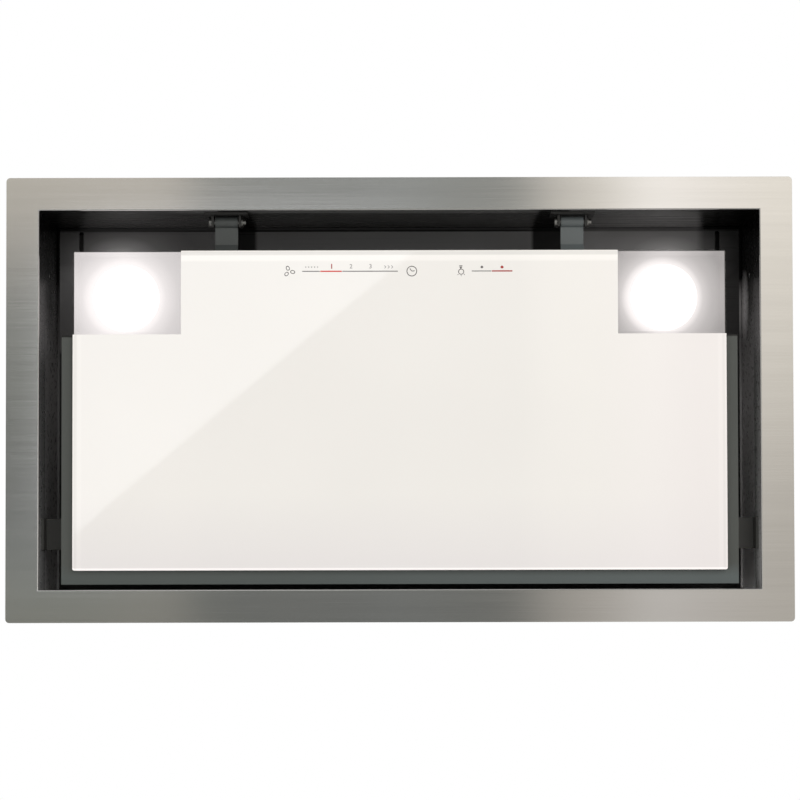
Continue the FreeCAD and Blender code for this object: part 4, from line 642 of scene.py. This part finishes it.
def dress_nodes():
    """Every solid takes the finish of its slot; a few have their own."""
    # Painted light: the straps are darker on the left and lighter on the right, where more light falls.
    strap = coated_sheet("strap_grey", srgb(54, 56, 54), srgb(98, 104, 105), 0.4)
    spring = satin_metal("spring_steel", (0.40, 0.41, 0.43), (0.58, 0.59, 0.60), 0.25, (20, 300, 300))
    by_slot = {
        "stainless": brushed_steel(),
        "casing_steel": casing_coat(False),
        "tray_paint": tray_coat(),
        "zinc": satin_metal("zinc_plate", (0.42, 0.42, 0.41), (0.62, 0.62, 0.60), 0.32),
        "dark_coat": coated_sheet("dark_coat", srgb(34, 34, 33), srgb(38, 38, 37), 0.5),
        "aluminium": satin_metal("aluminium", (0.62, 0.62, 0.63), (0.80, 0.80, 0.80), 0.3, (30, 400, 400)),
        "mesh_pad": knitted_wire(),
        "white_plastic": moulded("white_moulding", srgb(226, 223, 217), 0.42),
        "opal_lens": opal_lens(),
        "black_plastic": moulded("black_moulding", (0.018, 0.018, 0.019), 0.45),
        "grey_plastic": moulded("grey_moulding", srgb(120, 122, 124), 0.48),
        "rubber": moulded("rubber", (0.02, 0.02, 0.02), 0.75),
        "foam_tape": moulded("foam_tape", (0.03, 0.03, 0.03), 0.85),
        "circuit": circuit_board(),
        "motor_steel": coated_sheet("motor_grey", srgb(96, 99, 102), srgb(96, 99, 102), 0.38),
        "magnet": satin_metal("nickel", (0.30, 0.30, 0.31), (0.45, 0.45, 0.46), 0.28),
        "spring_steel": spring,
    }
    by_node = {
        "lower_casing": casing_coat(True),
        "ledge_frame": lining_with_painted_shading(),
        # The catch brackets take the grey of the painted shade on the recess walls, lighter to the right as
        # painted light.
        "catch_brackets": coated_sheet("catch_coat", srgb(58, 58, 56), srgb(66, 66, 64), 0.5),
        # Painted shade: the hinge pins and clips are a darker metal than the zinc of their slot.
        "hinge_pins": satin_metal("darkened_pins", (0.22, 0.22, 0.22), (0.40, 0.40, 0.39), 0.35),
        "hinge_clips": satin_metal("darkened_clips", (0.18, 0.18, 0.18), (0.34, 0.34, 0.33), 0.38),
        "hinge_arm_left": strap,
        "hinge_arm_right": strap,
        "lamp_housing_left": painted_lamp_glow("left"),
        "lamp_housing_right": painted_lamp_glow("right"),
    }
    for part in frame["record"]["subparts"]:
        name, slot = part["node"], part["material_slot"]
        if slot not in by_slot and name not in by_node:
            continue
        thing = frame["nodes"][name]
        thing.data.materials.clear()
        thing.data.materials.append(by_node.get(name) or by_slot[slot])
    return by_slot, by_node


# ---------------------------------------------------------------- modelling by hand


def start_block(name, x, y, z):
    """A box between low and high values on each axis, at the origin with its place in its mesh."""
    bpy.ops.object.select_all(action="DESELECT")
    spans = (x, y, z)
    middle = [(low + high) / 2 * MM for low, high in spans]
    bpy.ops.mesh.primitive_cube_add(size=1, location=middle)
    piece = bpy.context.object
    piece.name = piece.data.name = name
    piece.scale = [(high - low) * MM for low, high in spans]
    bpy.ops.object.transform_apply(location=True, rotation=True, scale=True)
    return piece


def pick(piece, kind, test):
    """Selects only the faces or edges that pass a test on their middle and direction."""
    if piece.mode == "EDIT":
        bpy.ops.object.mode_set(mode="OBJECT")
    mesh = piece.data
    for item in [*mesh.vertices, *mesh.edges, *mesh.polygons]:
        item.select = False
    if kind == "FACE":
        for face in mesh.polygons:
            face.select = test(face.center / MM, face.normal)
    else:
        for edge in mesh.edges:
            first, second = (mesh.vertices[index].co / MM for index in edge.vertices)
            edge.select = test((first + second) / 2, second - first)
    bpy.context.tool_settings.mesh_select_mode = (False, kind == "EDGE", kind == "FACE")
    bpy.ops.object.mode_set(mode="EDIT")


def soften(piece, offset, segments, test):
    """Bevels the edges that pass a test."""
    pick(piece, "EDGE", test)
    bpy.ops.mesh.bevel(offset=offset * MM, segments=segments, affect="EDGES")


def near(value, target, slack=0.02):
    """True where two lengths agree within the slack."""
    return abs(value - target) < slack


def on_frame(point, half_x, half_y, slack=0.02):
    """True where a point lies on the outline of a rectangle about the origin."""
    on_side = near(abs(point.x), half_x, slack) and abs(point.y) < half_y + slack
    on_end = near(abs(point.y), half_y, slack) and abs(point.x) < half_x + slack
    return on_side or on_end


def on_outer_edge(point):
    """True on the rim's outside, its rounded corners included."""
    return near(abs(point.x), RIM_X, 2.6) or near(abs(point.y), RIM_Y, 2.6)


def finish_piece(piece, body, materials):
    """Leaves edit mode, smooths what is round, keeps flats flat, gives the piece its materials and ties it to
    its body.
    """
    if piece.mode == "EDIT":
        bpy.ops.object.mode_set(mode="OBJECT")
    bpy.ops.object.select_all(action="DESELECT")
    piece.select_set(True)
    bpy.context.view_layer.objects.active = piece
    bpy.ops.object.shade_smooth_by_angle(angle=math.radians(30))
    bpy.ops.object.modifier_add(type="WEIGHTED_NORMAL")
    piece.modifiers[-1].keep_sharp = True
    bpy.ops.object.modifier_apply(modifier=piece.modifiers[-1].name)
    for material in materials:
        piece.data.materials.append(material)
    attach(piece, body)


def at_foot(point):
    """True on the face of the rim that looks down into the room."""
    return near(point.z, RIM_LOW)


def make_rim(steel, painted_recess_shading):
    """Flat stainless frame with a folded inner edge and an upstand, whose inside takes the recess's painted
    shading.
    """
    half = UPSTAND / 2
    rim = start_block("rim", (-RIM_X, RIM_X), (-RIM_Y, RIM_Y), (RIM_LOW, 0))
    pick(rim, "FACE", lambda middle, way: way.z > 0.5)
    bpy.ops.mesh.inset(thickness=(RIM_X - RECESS_X - UPSTAND) * MM)
    bpy.ops.mesh.inset(thickness=UPSTAND * MM)
    bpy.ops.mesh.delete(type="FACE")
    pick(rim, "FACE", lambda middle, way: way.z < -0.5)
    bpy.ops.mesh.inset(thickness=(RIM_X - RECESS_X) * MM)
    bpy.ops.mesh.delete(type="FACE")
    pick(rim, "EDGE", lambda middle, way: on_frame(middle, RECESS_X, RECESS_Y))
    bpy.ops.mesh.bridge_edge_loops()
    pick(rim, "FACE", lambda middle, way: way.z > 0.5 and on_frame(middle, RECESS_X + half, RECESS_Y + half))
    bpy.ops.mesh.extrude_region_move(TRANSFORM_OT_translate={"value": (0, 0, UPSTAND_TOP * MM)})
    soften(rim, RIM_CORNER, 6, lambda middle, way: abs(way.z) > 1.9 and near(abs(middle.x), RIM_X))
    soften(rim, RIM_FOLD, 4, lambda middle, way: at_foot(middle) and on_frame(middle, RECESS_X, RECESS_Y))
    soften(rim, RIM_ARRIS, 2, lambda middle, way: at_foot(middle) and on_outer_edge(middle))
    finish_piece(rim, "casing", [steel, painted_recess_shading])
    # The upstand's inner faces take the painted light and shade of the recess instead of the steel.
    for face in rim.data.polygons:
        middle = face.center / MM
        inner = abs(middle.x) < RECESS_X + 0.3 and abs(middle.y) < RECESS_Y + 0.3
        face.material_index = int(inner and abs(face.normal.z) < 0.2 and middle.z > -0.8)
    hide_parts("rim_frame")


def make_glass(painted, clear):
    """One sheet of glass: rounded corners, polished edges, and two corners left clear for the lamps."""
    glass = start_block("glass", (-GLASS_X, GLASS_X), (GLASS_FRONT, GLASS_REAR), (GLASS_LOW, GLASS_BACK))
    soften(glass, GLASS_CORNER, 5, lambda middle, way: abs(way.z) > 3.9)
    soften(glass, GLASS_ARRIS, 3, lambda middle, way: near(middle.z, GLASS_LOW))
    soften(glass, GLASS_BACK_ARRIS, 2, lambda middle, way: near(middle.z, GLASS_BACK))
    for place, way in (
        ((-WINDOW_X, 0, 0), (1, 0, 0)),
        ((WINDOW_X, 0, 0), (1, 0, 0)),
        ((0, WINDOW_REAR, 0), (0, 1, 0)),
    ):
        pick(glass, "FACE", lambda middle, normal: True)
        bpy.ops.mesh.bisect(plane_co=[c * MM for c in place], plane_no=way)
    finish_piece(glass, "panel", [painted, clear])
    for face in glass.data.polygons:
        middle = face.center / MM
        face.material_index = int(abs(middle.x) > WINDOW_X and middle.y < WINDOW_REAR)
    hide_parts("glass_panel")


# ---------------------------------------------------------------- printed controls


def settle(mark, place, turn=0.0, stretch=(1, 1, 1)):
    """Puts a mark at its place on the glass, with its place in its mesh."""
    mark.scale = stretch
    mark.rotation_euler = (0, 0, turn)
    mark.location = (place[0] * MM, place[1] * MM, PRINT_Z * MM)
    bpy.ops.object.transform_apply(location=True, rotation=True, scale=True)
    return mark


def bar(start, end, width):
    """A printed stroke with round ends between two points."""
    span = Vector(end) - Vector(start)
    long, half, thin = span.length / 2, width / 2, PRINT_THICK / 2
    stroke = start_block("stroke", (-long, long), (-half, half), (-thin, thin))
    soften(stroke, half * 0.98, 4, lambda middle, way: abs(way.z) > PRINT_THICK * 0.9)
    bpy.ops.object.mode_set(mode="OBJECT")
    middle = (Vector(start) + Vector(end)) / 2
    return settle(stroke, middle, math.atan2(span.y, span.x))


def ring(middle, radius, width, turn=0.0, oval=1.0):
    """A printed ring, stretched to an oval along its own turn."""
    bpy.ops.object.select_all(action="DESELECT")
    bpy.ops.mesh.primitive_torus_add(
        major_segments=40, minor_segments=8, major_radius=radius * MM, minor_radius=width / 2 * MM
    )
    return settle(bpy.context.object, middle, turn, (oval, 1, PRINT_THICK / width))


def bead(middle, wide, tall):
    """A small printed drop, round at its base and narrower at its top."""
    bpy.ops.object.select_all(action="DESELECT")
    bpy.ops.mesh.primitive_cylinder_add(vertices=24, radius=wide / 2 * MM, depth=PRINT_THICK * MM)
    drop = bpy.context.object
    pick(drop, "FACE", lambda point, way: abs(way.z) > 0.5)
    bpy.ops.mesh.inset(thickness=0.08 * MM)
    bpy.ops.object.mode_set(mode="OBJECT")
    for corner in drop.data.vertices:
        if corner.co.y < 0:
            corner.co.y *= 1.7 * tall / wide - 0.7
            corner.co.x *= 1 + corner.co.y / (tall * 1.6 * MM)
    return settle(drop, middle)


def numeral(figure, middle, height, bold):
    """A printed figure, read from below."""
    bpy.ops.object.select_all(action="DESELECT")
    bpy.ops.object.text_add()
    letter = bpy.context.object
    letter.data.body = figure
    letter.data.size = height / 0.7 * MM
    letter.data.extrude = PRINT_THICK / 2 * MM
    letter.data.offset = bold * MM
    letter.data.align_x = "CENTER"
    letter.data.align_y = "CENTER"
    bpy.ops.object.convert(target="MESH")
    letter.rotation_euler = (math.pi, 0, 0)
    bpy.ops.object.transform_apply(location=True, rotation=True, scale=True)
    return settle(letter, middle)


ROW, SCALE_ROW, FIGURE_ROW = -81.7, -84.4, -84.7
HAIR, FINE, PLAIN, LIT = 0.4, 0.5, 0.55, 0.8


def line(start, end, width=PLAIN):
    """A printed line along the row."""
    return bar((start, ROW), (end, ROW), width)


def fan_mark():
    """Three blades round a hub."""
    hub = Vector((-70.2, ROW))
    blades = []
    for middle in ((-71.0, -83.7), (-67.9, -81.3), (-71.8, -80.0)):
        way = Vector(middle) - hub
        blades.append(ring(middle, 1.0, 0.42, math.atan2(way.y, way.x), 1.3))
    return blades


def clock_mark():
    """A dial with two hands."""
    middle = (7.9, ROW)
    return [ring(middle, 3.1, PLAIN), bar(middle, (6.6, -83.4), FINE), bar(middle, (9.8, -81.9), FINE)]


def lamp_mark():
    """A bulb with its cap at the front and its rays to the rear."""
    return [
        bar((38.0, -85.0), (40.2, -85.0), FINE),
        bar((38.2, -84.2), (40.0, -84.2), FINE),
        bar((39.1, -84.2), (39.1, -83.2), 1.0),
        ring((39.3, -81.3), 1.65, FINE),
        bar((39.3, -79.1), (39.3, -78.4), HAIR),
        bar((37.6, -79.8), (37.0, -79.2), HAIR),
        bar((41.0, -79.8), (41.6, -79.2), HAIR),
    ]


def steps_mark(start):
    """A row of small dots for the lowest speed."""
    middles = [start + step * 1.9 for step in range(5)]
    return [bar((middle - 0.3, SCALE_ROW), (middle + 0.3, SCALE_ROW), 0.9) for middle in middles]


def chevron_mark(start):
    """Three chevrons for the highest speed."""
    strokes = []
    for foot in (start, start + 2.2, start + 4.4):
        for way in (-1, 1):
            strokes.append(bar((foot, SCALE_ROW + way * 0.95), (foot + 1.1, SCALE_ROW), HAIR))
    return strokes


def print_marks(ink, colour, marks):
    """Joins the marks of one ink to a piece that rides on the panel."""
    bpy.ops.object.select_all(action="DESELECT")
    for mark in marks:
        mark.select_set(True)
    bpy.context.view_layer.objects.active = marks[0]
    bpy.ops.object.join()
    piece = bpy.context.object
    piece.name = piece.data.name = f"control_marks_{ink}"
    finish_piece(piece, "panel", [print_ink(f"ink_{ink}", colour)])


def make_controls():
    """Marks of the touch control along the front of the glass, one piece for each ink."""
    symbols = fan_mark() + clock_mark() + lamp_mark()
    lines = [line(-61.9, -50.6), line(-36.4, -1.0), line(46.0, 58.6)]
    print_marks("grey", srgb(96, 93, 93), symbols + lines + [bead((52.5, -84.3), 1.7, 1.6)])
    figures = [numeral("2", (-30.8, FIGURE_ROW), 2.7, 0.04), numeral("3", (-18.4, FIGURE_ROW), 2.7, 0.04)]
    print_marks("pale", srgb(150, 146, 146), figures + steps_mark(-59.6) + chevron_mark(-9.6))
    print_marks("red", srgb(205, 58, 48), [line(-50.4, -36.6, LIT)])
    lit = [line(58.7, 72.0, LIT), bead((65.3, -84.3), 2.0, 1.8), numeral("1", (-43.1, FIGURE_ROW), 2.9, 0.12)]
    print_marks("maroon", srgb(158, 40, 36), lit)


place_camera()
light_room()
add_lamp("key", place=(0.9, -0.7, -1.7), size=1.2, power=14)
add_lamp("fill", place=(-1.1, 0.5, -1.5), size=1.4, power=8)
mirror_card()
pale_floor()
slots, own = dress_nodes()
make_rim(slots["stainless"], own["lower_casing"])
make_glass(painted_glass(), clear_glass())
make_controls()
